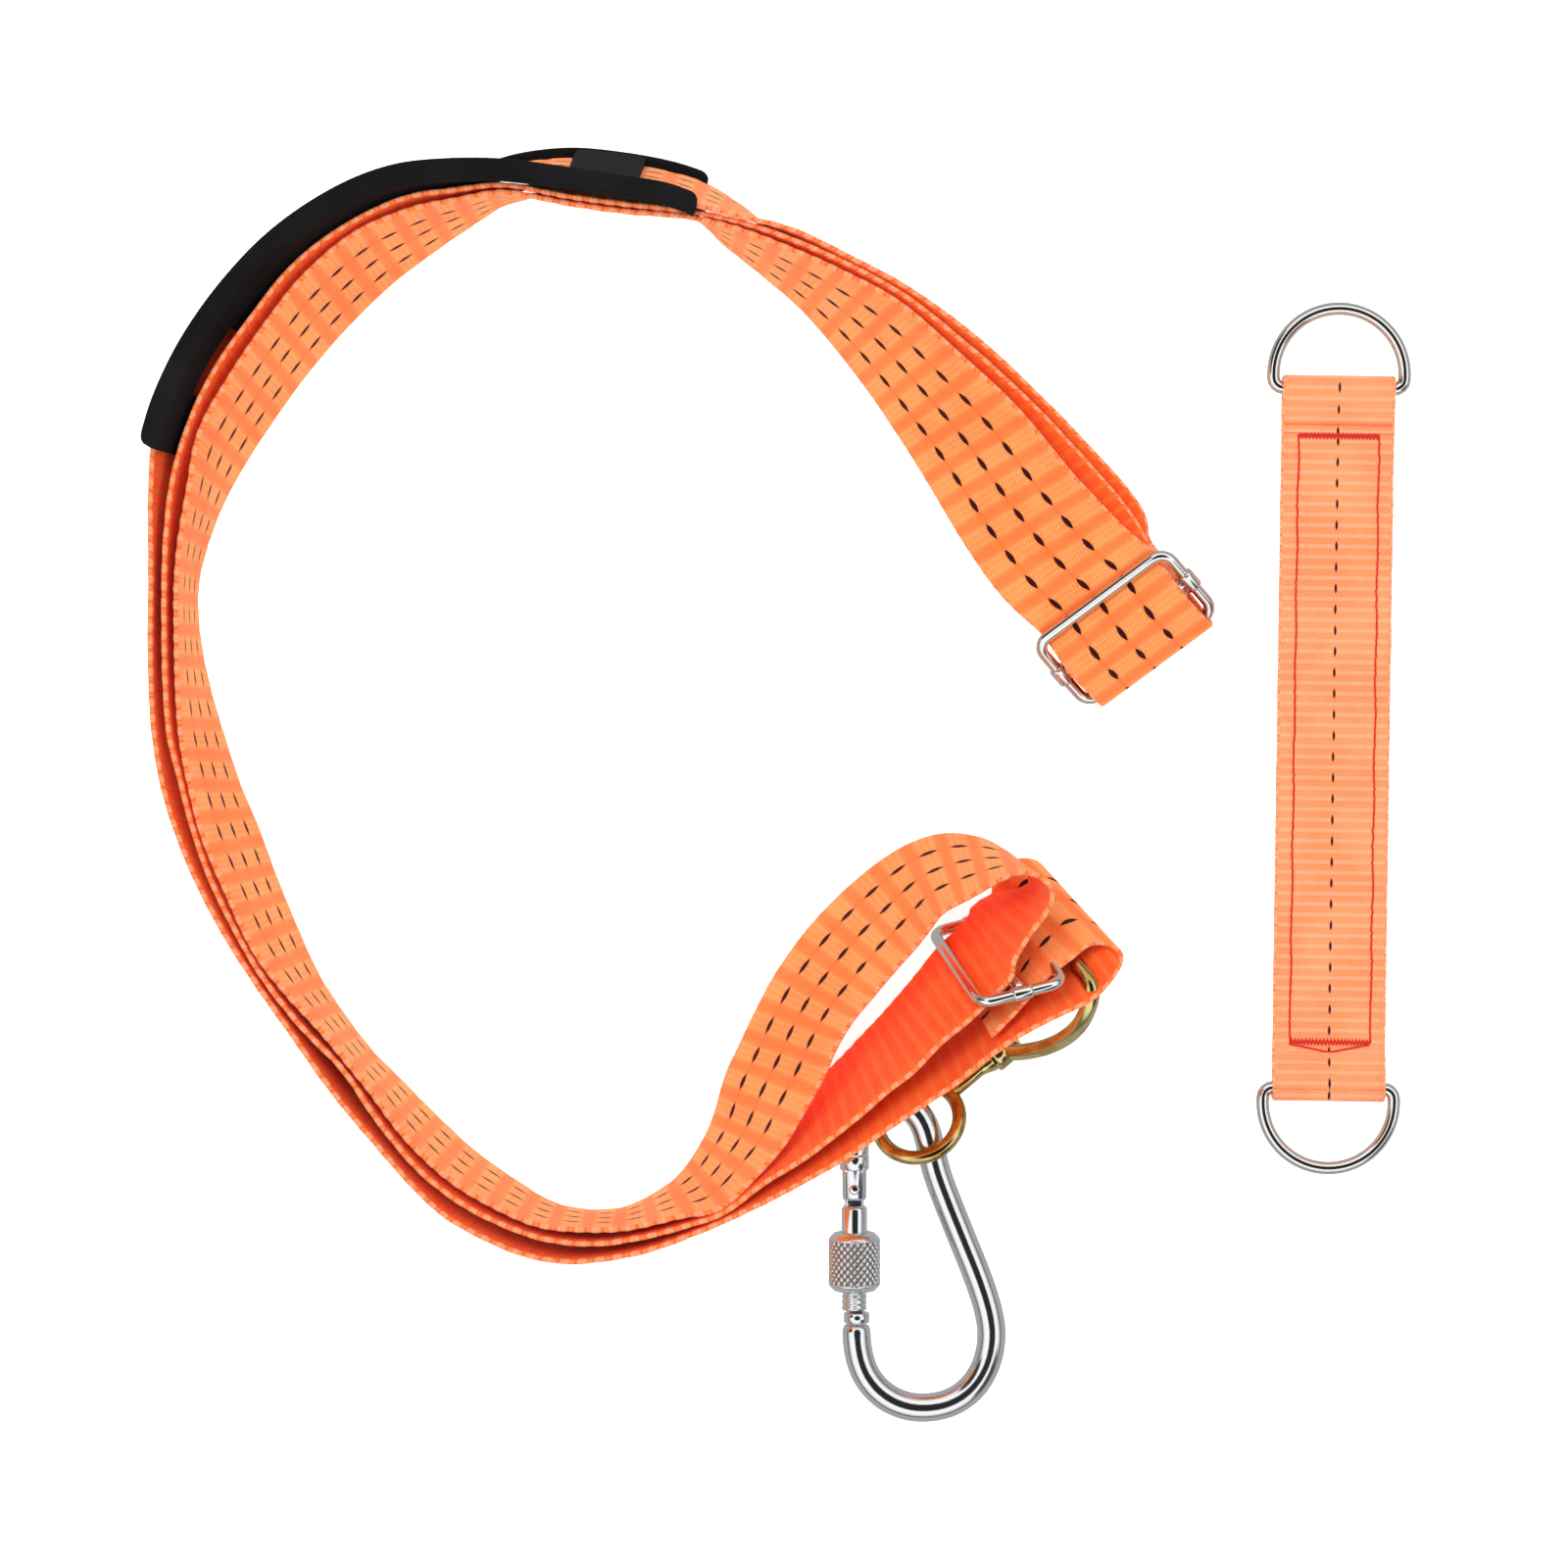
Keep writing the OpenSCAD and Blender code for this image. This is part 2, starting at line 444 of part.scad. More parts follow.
module d_ring() {
  w = 23;
  r = 3.5;
  leg = 1.5;
  rotate([0, 90, 0]) cylinder(d = d_wire, h = 2 * (w - r), center = true);
  for (s = [-1, 1]) translate([s * (w - r), r, 0]) rotate([0, 0, s > 0 ? -90 : 180])
    rotate_extrude(angle = 90) translate([r, 0]) circle(d = d_wire);
  for (s = [-1, 1]) translate([s * w, r + leg, 0]) rotate([90, 0, 0]) cylinder(d = d_wire, h = leg);
  translate([0, r + leg, 0]) rotate_extrude(angle = 180, $fn = 48) translate([w, 0]) circle(d = d_wire, $fn = 24);
}

module d_ring_upper() color(chrome) placed() short_frame() translate([0, y_end - bar_in, bar_z]) d_ring();
module d_ring_lower() color(chrome) placed() short_frame() translate([0, -y_end + bar_in, bar_z]) rotate([0, 0, 180]) d_ring();

// ---- wear pad: a channel on the outer layer, open outwards, with two bridges ----
pad_route = [for (i = [9 : 21]) route_pad_run[i]];
pad_in = -(web_thick / 2 + slot_gap + pad_base);

// Part of the pad between two depths and two heights, over a range of its length.
module pad_strip(a, b, low, high, from, to) {
  all = frames(smooth(pad_route, 6));
  rings_solid([for (i = [from : 2 : to]) let (k = all[i]) [
    k[0] + k[1] * low + k[2] * a, k[0] + k[1] * low + k[2] * b,
    k[0] + k[1] * high + k[2] * b, k[0] + k[1] * high + k[2] * a]]);
}

module wear_pad() color(black) placed() {
  last = 3 * (len(pad_route) - 1);
  h = pad_height / 2;
  r = h - 2.6;
  base_out = pad_in + pad_base;
  rail_out = pad_in + pad_rail;
  all = frames(smooth(pad_route, 3));
  section = [[-h, pad_in], [-h, rail_out], [-r, rail_out], [-r, base_out], [r, base_out], [r, rail_out],
    [h, rail_out], [h, pad_in]];
  difference() {
    rings_solid([for (i = [0 : last]) let (k = all[i]) [for (p = section) k[0] + k[1] * p[0] + k[2] * p[1]]]);
    for (i = [7, 2 * last - 15]) pad_strip(pad_in - 1, base_out + 1, -15, 15, i, i + 8);
  }
  for (i = [7, 2 * last - 15]) pad_strip(rail_out - 2.4, rail_out - 0.3, -r - 1, r + 1, i, i + 8);
}

module strap_stitching() color(dark_thread) placed() {
  f = frames(smooth(route_loop, 3));
  for (i = [35 : 38]) rings_solid([for (s = [0.35, -0.35]) [for (p = [[-17, -1.5], [17, -1.5], [17, -1], [-17, -1]])
    f[i][0] + f[i][1] * p[0] + f[i][2] * p[1] + cross(f[i][1], f[i][2]) * s]]);
}

strap_sewn_end();
strap_middle_run();
strap_hairpin();
strap_arch();
strap_inner_run();
strap_bight();
strap_pad_run();
strap_outer_run();
strap_swivel_loop();
strap_stitching();
slider_a_frame();
slider_a_bar();
slider_b_frame();
slider_b_bar();
wear_pad();
swivel_bow();
swivel_ring();
swivel_washer();
carabiner_body();
carabiner_gate();
gate_rivet();
gate_spring();
gate_plunger();
lock_nut();
short_webbing_top();
short_webbing_base();
short_stitching();
d_ring_upper();
d_ring_lower();
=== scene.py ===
"""Looks of the climbing strap set: webbing, plated hardware, wear pad, floor, light and camera."""

import json
import math

import bpy
import numpy as np
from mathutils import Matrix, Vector


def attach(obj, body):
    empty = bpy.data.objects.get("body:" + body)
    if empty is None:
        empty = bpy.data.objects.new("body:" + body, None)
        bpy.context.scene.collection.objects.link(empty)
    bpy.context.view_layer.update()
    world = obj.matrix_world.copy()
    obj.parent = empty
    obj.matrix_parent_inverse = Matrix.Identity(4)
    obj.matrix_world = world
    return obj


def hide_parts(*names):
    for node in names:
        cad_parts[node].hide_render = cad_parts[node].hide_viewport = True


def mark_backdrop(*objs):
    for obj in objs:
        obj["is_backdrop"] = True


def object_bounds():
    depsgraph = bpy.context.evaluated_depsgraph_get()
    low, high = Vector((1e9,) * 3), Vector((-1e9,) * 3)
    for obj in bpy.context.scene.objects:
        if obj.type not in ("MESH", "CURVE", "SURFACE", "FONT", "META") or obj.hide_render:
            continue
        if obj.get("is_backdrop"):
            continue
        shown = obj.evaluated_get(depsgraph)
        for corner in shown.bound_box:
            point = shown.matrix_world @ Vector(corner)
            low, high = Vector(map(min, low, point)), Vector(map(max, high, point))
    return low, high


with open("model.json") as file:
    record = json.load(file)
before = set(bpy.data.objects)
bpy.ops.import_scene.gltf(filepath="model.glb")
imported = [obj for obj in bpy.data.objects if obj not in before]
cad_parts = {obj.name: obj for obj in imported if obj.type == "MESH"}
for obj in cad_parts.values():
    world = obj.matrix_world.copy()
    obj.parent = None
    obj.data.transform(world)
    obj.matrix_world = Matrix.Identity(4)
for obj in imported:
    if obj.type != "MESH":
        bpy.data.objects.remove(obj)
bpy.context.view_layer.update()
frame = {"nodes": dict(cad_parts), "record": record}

MM = 0.001
SHIFT = np.array([1.4, 0.1, 0.0])  # the set's shift to the middle of the frame, as in part.scad
WEB_WIDTH = 49.0
WEB_HALF = 1.0  # half of the webbing's thickness
TRACER_STEP = 11.0  # distance from one woven dash to the next
DASH_LENGTH, DASH_WIDTH = 6.6, 1.95

# ---------------------------------------------------------------- routes
# As in part.scad, but for seven stations beside the pad's right end that close gaps of 2 mm or less.


def unit(v):
    v = np.array(v, float)
    return v / np.linalg.norm(v)


def st(xl, yl, xh, yh, h=0.0):
    """A webbing station from the plan position of both edges and the height of the low edge."""
    plan = min(math.hypot(xh - xl, yh - yl), 0.985 * WEB_WIDTH)
    d = unit([xh - xl, yh - yl])
    z = h + 0.05 + WEB_HALF * plan / WEB_WIDTH
    rise = math.sqrt(WEB_WIDTH**2 - plan**2)
    return [xl, yl, z, xl + d[0] * plan, yl + d[1] * plan, z + rise]


class SliderFrame:
    """Place of one slider: u along its bars, v across them, n out of its face."""

    def __init__(self, at, u, v, flip):
        self.at = np.array(at, float)
        self.u = unit(u)
        v = np.array(v, float)
        self.v = unit(v - self.u * (v @ self.u))
        self.n = np.cross(self.v, self.u) if flip else np.cross(self.u, self.v)

    def point(self, u, v, n):
        return self.at + self.u * u + self.v * v + self.n * n

    def station(self, v, n):
        half = WEB_WIDTH / 2
        return [*self.point(-half, v, n), *self.point(half, v, n)]


SLIDER_A = SliderFrame([119, 54.5, 17.5], [41.6, 30.9, 12], [19.8, -21.5, -13], True)
SLIDER_B = SliderFrame([74, -60, 33], [15.5, -23.4, 48.4], [30.4, 7.8, -6], False)
sa = SLIDER_A.station
sb = SLIDER_B.station

ROUTE_SEWN_END = [
  sa(-34, -21.8), sa(-28, -18.8), sa(-22, -14), sa(-16, -9.6), sa(-7, -5.4), sa(-2.5, -3.6), sa(0.5, -3.4),
  sa(2.9, -2), sa(3.5, 0.2), sa(2.6, 2.5), sa(0.3, 3.5), sa(-3, 2.6), sa(-9, -3), sa(-16, -7)]

ROUTE_MIDDLE = [
  sa(-16, -7), st(81, 68, 121, 94.5, 9), st(67, 89.5, 105.5, 112.5, 3.4),
  st(51.5, 112, 86.5, 132, 2), st(37.5, 134, 63.5, 152, 1.2), st(23, 152.5, 43, 168, 0.6),
  st(9.5, 168.5, 22, 179.5), st(-4, 180, 1, 188.5), st(-17, 191, -16.5, 194),
  st(-34, 204.5, -34.5, 197.3), st(-53, 208.5, -54.5, 199.5), st(-74, 210.8, -75.5, 202.4),
  st(-96, 208.3, -96.5, 206.3), st(-112, 202, -114, 204.6), st(-125, 193, -131, 202),
  st(-141, 180, -150.4, 193.2), st(-157, 164, -169, 179.5), st(-172, 146.5, -184, 161),
  st(-185, 129, -196.5, 143), st(-194.5, 112, -205.5, 124), st(-202, 96.8, -210.8, 105),
  st(-206.5, 82, -213, 86), st(-209, 68, -213.6, 68.5), st(-208.5, 51, -213.6, 51),
  st(-205.5, 33.5, -213.3, 34), st(-200.5, 16, -212, 16.5), st(-195, -1.5, -208.5, 2),
  st(-188.5, -19, -204.5, -14), st(-181.5, -37, -198.8, -31), st(-174.3, -54.8, -190.5, -48.5),
  st(-166.8, -72, -180, -66.5), st(-157, -87.5, -166.3, -83.8), st(-145.5, -101, -152, -98.5),
  st(-132.5, -113, -140.5, -115.5), st(-118.5, -127, -127, -132), st(-105, -137.5, -113, -143.5),
  st(-90.5, -147, -98, -151.5), st(-75, -152.5, -82, -157), st(-61, -154.3, -64.5, -158.5),
  st(-47, -151, -47.5, -156), st(-37, -145, -34, -152.5), st(-27, -136, -20.5, -148),
  st(-14, -124, -7, -138), st(2, -112, 7, -129.5), st(13.5, -102.5, 17.5, -121.5, 1),
  st(20.5, -96, 27.5, -113.5, 1.5), st(27.5, -88.5, 36, -106, 2.5), st(34, -81.5, 44.5, -99.5, 4),
  st(41, -73.5, 54, -89.5, 6.5), st(48, -65, 61.5, -83.5, 9)]

ROUTE_HAIRPIN = [
  st(48, -65, 61.5, -83.5, 9), sb(-16, -5.6), sb(-8, 0), sb(-1, 5.4),
  st(65, -44, 78.5, -62, 13.8), st(71, -39.5, 85, -51, 15.4), st(78, -37.5, 90, -44, 18),
  st(83.5, -37, 92, -38.5, 20), st(86.5, -33.6, 90.6, -34, 20), st(84, -29.5, 86.2, -30.8, 19)]

ROUTE_ARCH = [
  st(84, -29.5, 86.2, -30.8, 19), st(77, -23.5, 79.5, -30.5, 16.5),
  st(68.5, -19, 71.5, -34.5, 13), st(56.5, -17.5, 62.8, -39.8, 9), st(44.5, -20.8, 54.5, -44.4, 6.5),
  st(34, -27, 50.5, -50, 4), st(24, -35, 45, -57, 2.4), st(13.7, -45, 38, -65, 1),
  st(5.5, -54.6, 31.7, -72.5), st(-3, -67, 24.6, -81), st(-10, -80, 18.8, -90),
  st(-17, -94.7, 13, -103), st(-20.5, -102.5, 7.5, -112.6), st(-24, -115, 1, -123.6)]

ROUTE_INNER = [
  st(-24, -115, 1, -123.6), st(-27.3, -123.4, -6.8, -132.6), st(-34, -134.3, -21.5, -146.5),
  st(-41, -141.3, -34.5, -148.8), st(-54.6, -148.7, -53.6, -153), st(-68.3, -150, -68.3, -153.6),
  st(-82, -147, -84.5, -152), st(-95.6, -138.6, -100, -145.5), st(-109, -129, -115, -136.5),
  st(-123, -116, -130, -122.5), st(-136.5, -102.4, -142, -106.5), st(-143.5, -95.6, -148, -99),
  st(-153.2, -83.3, -159, -85.6), st(-163.5, -67.5, -172.5, -71), st(-171, -51, -183, -57),
  st(-178, -34, -192, -38), st(-185, -15, -200.5, -18), st(-191, -1, -205, 0),
  st(-197, 17, -208, 17), st(-202, 34, -209, 34.5), st(-205.5, 51.5, -209.3, 51),
  st(-206.3, 68, -209.3, 68.5), st(-203.4, 82, -208, 84.3), st(-198.2, 96.2, -205, 102.5),
  st(-191, 110, -201.5, 121.5), st(-181, 125.5, -192, 139), st(-168.5, 143, -180, 157),
  st(-153.5, 160.5, -165.5, 175.5), st(-137.5, 176, -148, 190), st(-122.5, 187.5, -129, 198),
  st(-109.5, 196.5, -113, 201.2), st(-96, 204.5, -96, 203.8), st(-74, 207.8, -75, 199.8),
  st(-53.5, 205.7, -54.5, 196.9), st(-34, 201.4, -34.5, 195.3), st(-20, 189, -18.5, 192),
  st(-7, 178.5, -0.5, 185.5, 0.6), st(7, 166, 19.5, 176.8, 1.6), st(20.5, 150, 40, 166, 3),
  st(34, 131.5, 59.5, 149.5, 4.2), st(48, 109.5, 81.5, 129.5, 6), st(61.5, 86.5, 99.5, 108.5, 8.2),
  st(76, 65.5, 116, 91.5, 13), sa(-16, -3.7)]

ROUTE_BIGHT = [
  sa(-16, -3.7), sa(-12.5, -2.3), sa(-9, 0.6), sa(-3, 5.2), sa(1.5, 6), sa(8, 4.7), sa(14, 3.5), sa(17.4, 2.9),
  sa(18.5, 0), sa(17.4, -2.9), sa(14, -3.6), sa(8, -5), sa(0, -7.4), sa(-8, -10.4), sa(-16, -13.2)]

ROUTE_PAD_RUN = [
  sa(-16, -13.2), st(84.5, 70.5, 125, 96.5, 4.5), st(70.5, 91.5, 109.5, 114.5, 1),
  st(54.5, 113.5, 90, 134, 0), st(39.8, 135.6, 67, 154.5), st(25, 154, 44.5, 170.5),
  st(11.5, 171, 23.5, 181.5), st(0.5, 186.4, 3, 190.9, 1), st(-11, 199, -13.5, 194.7, 4),
  st(-26, 209, -29, 198.5, 5.6), st(-39, 213.5, -41, 203, 5.6), st(-56.5, 216.8, -58, 205.8, 5.6),
  st(-76, 218.5, -77, 208.6, 5.6), st(-96, 216, -97, 210.8, 5.6), st(-113, 209.5, -115.5, 210.6, 5.6),
  st(-130, 202, -134, 208.2, 5.6), st(-146.5, 191, -153, 200.5, 5.6), st(-162.5, 176.5, -173, 187, 5.6),
  st(-177, 160, -189.5, 170, 5.6), st(-188.5, 143, -203, 151, 5.6), st(-197.5, 126.5, -212.5, 131.5, 5.6),
  st(-203.5, 112, -217.5, 114.5, 5.6)]

ROUTE_OUTER = [
  st(-203.5, 112, -217.5, 114.5, 5.6), st(-208.5, 97, -218.2, 97.5, 3), st(-212.5, 82, -218.2, 82, 1),
  st(-214.5, 68.3, -218.2, 68.3), st(-213.3, 50.5, -218.4, 51), st(-210, 32.5, -218.2, 34),
  st(-205, 15, -217.3, 17.5), st(-199.5, -3, -214.5, 0), st(-193, -21, -209.5, -17),
  st(-185.5, -38.5, -202.5, -34), st(-178, -55.5, -193.5, -51), st(-170, -72.5, -183, -67.5),
  st(-160, -88.5, -169.5, -86.5), st(-149.5, -103, -155.8, -105.8), st(-136, -117.5, -142, -122.5),
  st(-122, -131, -128.5, -138), st(-107.5, -142.5, -116.7, -149), st(-93, -152, -102, -157.2),
  st(-81, -156.5, -88.5, -162.5), st(-69, -159, -74.7, -164.7), st(-57.5, -158, -61, -163.6),
  st(-46.5, -155, -47, -160.8), st(-34.5, -149, -33.4, -156), st(-24.5, -140, -19.8, -150.5),
  st(-11, -129.5, -6, -144), st(4.5, -118, 7.5, -137), st(15, -106.6, 20.5, -129.7, 1),
  st(26.7, -96.8, 34, -120.5, 2.4), st(39.6, -87.7, 47.8, -111.3, 3.4), st(52.5, -82, 59.7, -103.1, 5)]

ROUTE_LOOP = [
  st(52.5, -82, 59.7, -103.1, 5), st(64, -73, 71.7, -93.2, 7.2), st(75, -63.5, 83.6, -85.3, 9.2),
  st(83.5, -54, 95.6, -79.5, 10.5), st(89.5, -44, 107, -74, 10.5), st(92, -35, 114, -67, 9.5),
  st(90, -28.5, 117.6, -60.5, 9), st(84, -26, 114, -56.5, 9.5), st(77, -28.5, 106.5, -55.5, 9.2),
  st(73, -34.5, 100, -60, 9.6), st(72.5, -43, 92.5, -65, 9.2), st(70, -54, 85.7, -72, 8),
  st(66, -61.5, 79, -79.5, 7.4), st(61.5, -69, 71, -87.5, 7)]

BOW_PATH = [
  [87.4, -40, 12], [90.2, -47.8, 21], [95.4, -55.2, 30.5], [102, -63.8, 39], [106.5, -70, 42], [105, -78, 40],
  [101, -85.5, 33], [93, -91, 24], [84, -93.5, 14], [76, -93.5, 6], [72, -85, 3.8], [74.5, -70, 3.6],
  [80.5, -58, 3.6], [85, -50, 3.8], [87.3, -44, 6]]

ROD_PATH = [
  [25.4, -188], [25.5, -196], [28, -206], [34, -213.6], [42, -217.8], [50, -218.6], [58.5, -216.8],
  [66, -211.5], [71, -203], [72.8, -193], [71.5, -184], [68, -173], [62.8, -160], [57.2, -146],
  [53, -134.5], [51, -125.5], [48.6, -117.4], [43.5, -111.7], [36.5, -109.4], [29.8, -111.2], [26, -116.6],
  [24.7, -123.5], [24.6, -131]]


NECK = np.array([76, -93.5, 6.0])
RING_AT = np.array([47, -117.5, 12.3])
RING_RADIUS = 14.5
RING_TILT = -30
CARABINER_TIP = 4.3
GATE_X, PIVOT_Y, GATE_END, NUT_MID = 24.6, -141.0, -184.0, -166.9
KNURL_TURNS, KNURL_RISE, KNURL_HALF = 11, 1.15, 7.4  # grooves are half turns of a sine round and along
THREAD_LAY = 0.8

# ---------------------------------------------------------------- curves and meshes


def curve_point(a, b, c, d, t):
    return 0.5 * (2 * b + (c - a) * t + (2 * a - 5 * b + 4 * c - d) * t**2 + (3 * b - a - 3 * c + d) * t**3)


def smooth(points, n, closed=False):
    """A smooth curve through points, with n steps between each two."""
    p = np.array(points, float)
    m = len(p)
    out = []
    for i in range(m if closed else m - 1):
        k = [(i + j) % m if closed else min(max(i + j, 0), m - 1) for j in (-1, 0, 1, 2)]
        out += [curve_point(p[k[0]], p[k[1]], p[k[2]], p[k[3]], j / n) for j in range(n)]
    if not closed:
        out.append(p[-1])
    return np.array(out)


def run_along(points):
    """Distance of each point along the line."""
    return np.concatenate([[0], np.cumsum(np.linalg.norm(np.diff(points, axis=0), axis=1))])


def unit_rows(v):
    return v / np.linalg.norm(v, axis=1)[:, None]


def band_axes(points):
    """Middle, direction across and direction out of the face at each station."""
    mid = (points[:, :3] + points[:, 3:]) / 2
    across = unit_rows(points[:, 3:] - points[:, :3])
    return mid, across, unit_rows(np.cross(np.gradient(mid, axis=0), across))


def even(points, step):
    """The same curve with points an even distance apart, and the distance of each along it."""
    run = run_along((points[:, :3] + points[:, 3:]) / 2 if points.shape[1] == 6 else points)
    count = max(2, int(round(run[-1] / step)) + 1)
    at = np.linspace(0, run[-1], count)
    return np.stack([np.interp(at, run, points[:, k]) for k in range(points.shape[1])], 1), at


def soften(points, sigma):
    """Moving average with a bell-shaped weight, sigma in points. The ends stay."""
    reach = int(3 * sigma) + 1
    w = np.exp(-0.5 * (np.arange(-reach, reach + 1) / sigma) ** 2)
    w /= w.sum()
    padded = np.concatenate([np.repeat(points[:1], reach, 0), points, np.repeat(points[-1:], reach, 0)])
    return np.stack([np.convolve(padded[:, k], w, "valid") for k in range(points.shape[1])], 1)


def make_object(name, verts, faces, materials=(), face_material=None, uv=None):
    """A mesh object from points in mm. uv is one (u, v) pair for each vertex."""
    mesh = bpy.data.meshes.new(name)
    mesh.from_pydata([tuple(v) for v in (np.array(verts) + SHIFT) * MM], [], [tuple(f) for f in faces])
    mesh.validate()
    for m in materials:
        mesh.materials.append(m)
    if face_material is not None:
        mesh.polygons.foreach_set("material_index", np.array(face_material, np.int32))
    if uv is not None:
        layer = mesh.uv_layers.new(name="weave")
        corner = np.zeros(len(mesh.loops), np.int32)
        mesh.loops.foreach_get("vertex_index", corner)
        layer.data.foreach_set("uv", np.array(uv, np.float32)[corner].ravel())
    mesh.polygons.foreach_set("use_smooth", np.ones(len(mesh.polygons), bool))
    obj = bpy.data.objects.new(name, mesh)
    bpy.context.scene.collection.objects.link(obj)
    return obj


def join_parts(name, parts, material, uv=None):
    """One object from several (verts, faces) parts, each in mm."""
    verts, faces = [], []
    for v, f in parts:
        base = len(verts)
        verts += list(v)
        faces += [tuple(i + base for i in face) for face in f]
    return make_object(name, verts, faces, [material], None, uv)


def tube_faces(rings, sides, closed):
    """Quads between one ring of points and the next, and back to the first ring where closed."""
    faces = []
    for i in range(rings if closed else rings - 1):
        k = (i + 1) % rings
        for j in range(sides):
            q = (j + 1) % sides
            faces.append((i * sides + j, i * sides + q, k * sides + q, k * sides + j))
    if not closed:
        faces.append(tuple(range(sides))[::-1])
        faces.append(tuple((rings - 1) * sides + j for j in range(sides)))
    return faces


def sweep(points, radius, closed=False, sides=28):
    """Tube along points. radius is one number or one for each point."""
    p = np.array(points, float)
    m = len(p)
    r = np.broadcast_to(np.array(radius, float), (m,))
    if closed:
        t = np.roll(p, -1, 0) - np.roll(p, 1, 0)
    else:
        t = np.vstack([p[1:], p[-1:]]) - np.vstack([p[:1], p[:-1]])
    t = unit_rows(t)
    x = unit(np.cross(t[0], [0, 0, 1] if abs(t[0][2]) < 0.9 else [1, 0, 0]))
    xs = []
    for i in range(m):
        x = unit(x - t[i] * (x @ t[i]))
        xs.append(x)
    xs = np.array(xs)
    if closed:  # spread the twist that is left over the whole loop
        y0 = np.cross(t[0], xs[0])
        last = unit(xs[-1] - t[0] * (xs[-1] @ t[0]))
        twist = math.atan2(last @ y0, last @ xs[0])
        for i in range(m):
            a = -twist * i / m
            xs[i] = xs[i] * math.cos(a) + np.cross(t[i], xs[i]) * math.sin(a)
    ys = np.cross(t, xs)
    a = np.arange(sides) * 2 * math.pi / sides
    rings = [p[i] + r[i] * (np.outer(np.cos(a), xs[i]) + np.outer(np.sin(a), ys[i])) for i in range(m)]
    return np.concatenate(rings), tube_faces(m, sides, closed)


def lathe(origin, axis, profile, sides=48, bump=None, bore=False):
    """Solid of revolution. profile is [(along, radius)] from one end to the other, in mm.
    With bore, the last ring joins the first, which leaves a hole through the middle."""
    z = unit(axis)
    x = unit(np.cross(z, [0, 0, 1] if abs(z[2]) < 0.9 else [1, 0, 0]))
    y = np.cross(z, x)
    a = np.arange(sides) * 2 * math.pi / sides
    verts = []
    for h, r in profile:
        r = r + (bump(a, h) if bump else 0)
        verts += list(np.array(origin) + z * h + (np.cos(a) * r)[:, None] * x + (np.sin(a) * r)[:, None] * y)
    return verts, tube_faces(len(profile), sides, bore)


def turned(faces):
    """The same faces, looking the other way."""
    return [tuple(reversed(f)) for f in faces]


def skin(rings, closed=False, flip=False):
    """Points and faces over rings of points, the faces looking the other way with flip."""
    faces = tube_faces(len(rings), len(rings[0]), closed)
    return np.concatenate(rings), turned(faces) if flip else faces


# ---------------------------------------------------------------- shader helpers


def linear(c):
    return ((c / 255 + 0.055) / 1.055) ** 2.4 if c > 10 else c / 255 / 12.92


def rgb(r, g, b):
    """Linear colour from screen values of 0 to 255."""
    return linear(r), linear(g), linear(b), 1.0


class Graph:
    """Short names for shader nodes. Values may be numbers or sockets."""

    def __init__(self, name):
        self.material = bpy.data.materials.new(name)
        self.material.use_nodes = True
        self.nodes = self.material.node_tree.nodes
        self.links = self.material.node_tree.links
        self.shader = self.nodes["Principled BSDF"]

    def put(self, value, socket):
        if isinstance(value, bpy.types.NodeSocket):
            self.links.new(value, socket)
        else:
            socket.default_value = value

    def math(self, op, *values):
        node = self.nodes.new("ShaderNodeMath")
        node.operation = op
        for k, v in enumerate(values):
            self.put(v, node.inputs[k])
        return node.outputs[0]

    def mul(self, *values):
        return self.math("MULTIPLY", *values)

    def add(self, *values):
        return self.math("ADD", *values)

    def sub(self, *values):
        return self.math("SUBTRACT", *values)

    def ramp(self, value, low, high, out_low=0.0, out_high=1.0):
        """Smooth step of value from low to high."""
        node = self.nodes.new("ShaderNodeMapRange")
        node.interpolation_type = "SMOOTHSTEP"
        for k, v in enumerate((value, low, high, out_low, out_high)):
            self.put(v, node.inputs[k])
        return node.outputs[0]

    def mix(self, factor, a, b):
        node = self.nodes.new("ShaderNodeMix")
        node.data_type = "RGBA"
        self.put(factor, node.inputs[0])
        self.put(a, node.inputs[6])
        self.put(b, node.inputs[7])
        return node.outputs[2]

    def uv(self):
        """The two parts of the UV: distance along and across, in mm."""
        node = self.nodes.new("ShaderNodeUVMap")
        node.uv_map = "weave"
        split = self.nodes.new("ShaderNodeSeparateXYZ")
        self.links.new(node.outputs[0], split.inputs[0])
        return split.outputs[0], split.outputs[1]

    def noise(self, scale, detail=2.0, rough=0.5):
        node = self.nodes.new("ShaderNodeTexNoise")
        node.inputs["Scale"].default_value = scale
        node.inputs["Detail"].default_value = detail
        node.inputs["Roughness"].default_value = rough
        coord = self.nodes.new("ShaderNodeTexCoord")
        self.links.new(coord.outputs["Object"], node.inputs["Vector"])
        return node.outputs[0]

    def bump(self, height, distance=MM, strength=1.0):
        node = self.nodes.new("ShaderNodeBump")
        node.inputs["Strength"].default_value = strength
        node.inputs["Distance"].default_value = distance
        self.put(height, node.inputs["Height"])
        self.links.new(node.outputs[0], self.shader.inputs["Normal"])

    def set(self, **values):
        for key, value in values.items():
            self.put(value, self.shader.inputs[key.replace("_", " ")])


def repeat(g, value, period):
    """Distance to the middle of the nearest repeat, in the value's unit."""
    t = g.math("FRACT", g.math("DIVIDE", value, period))
    return g.mul(g.math("ABSOLUTE", g.sub(t, 0.5)), period)


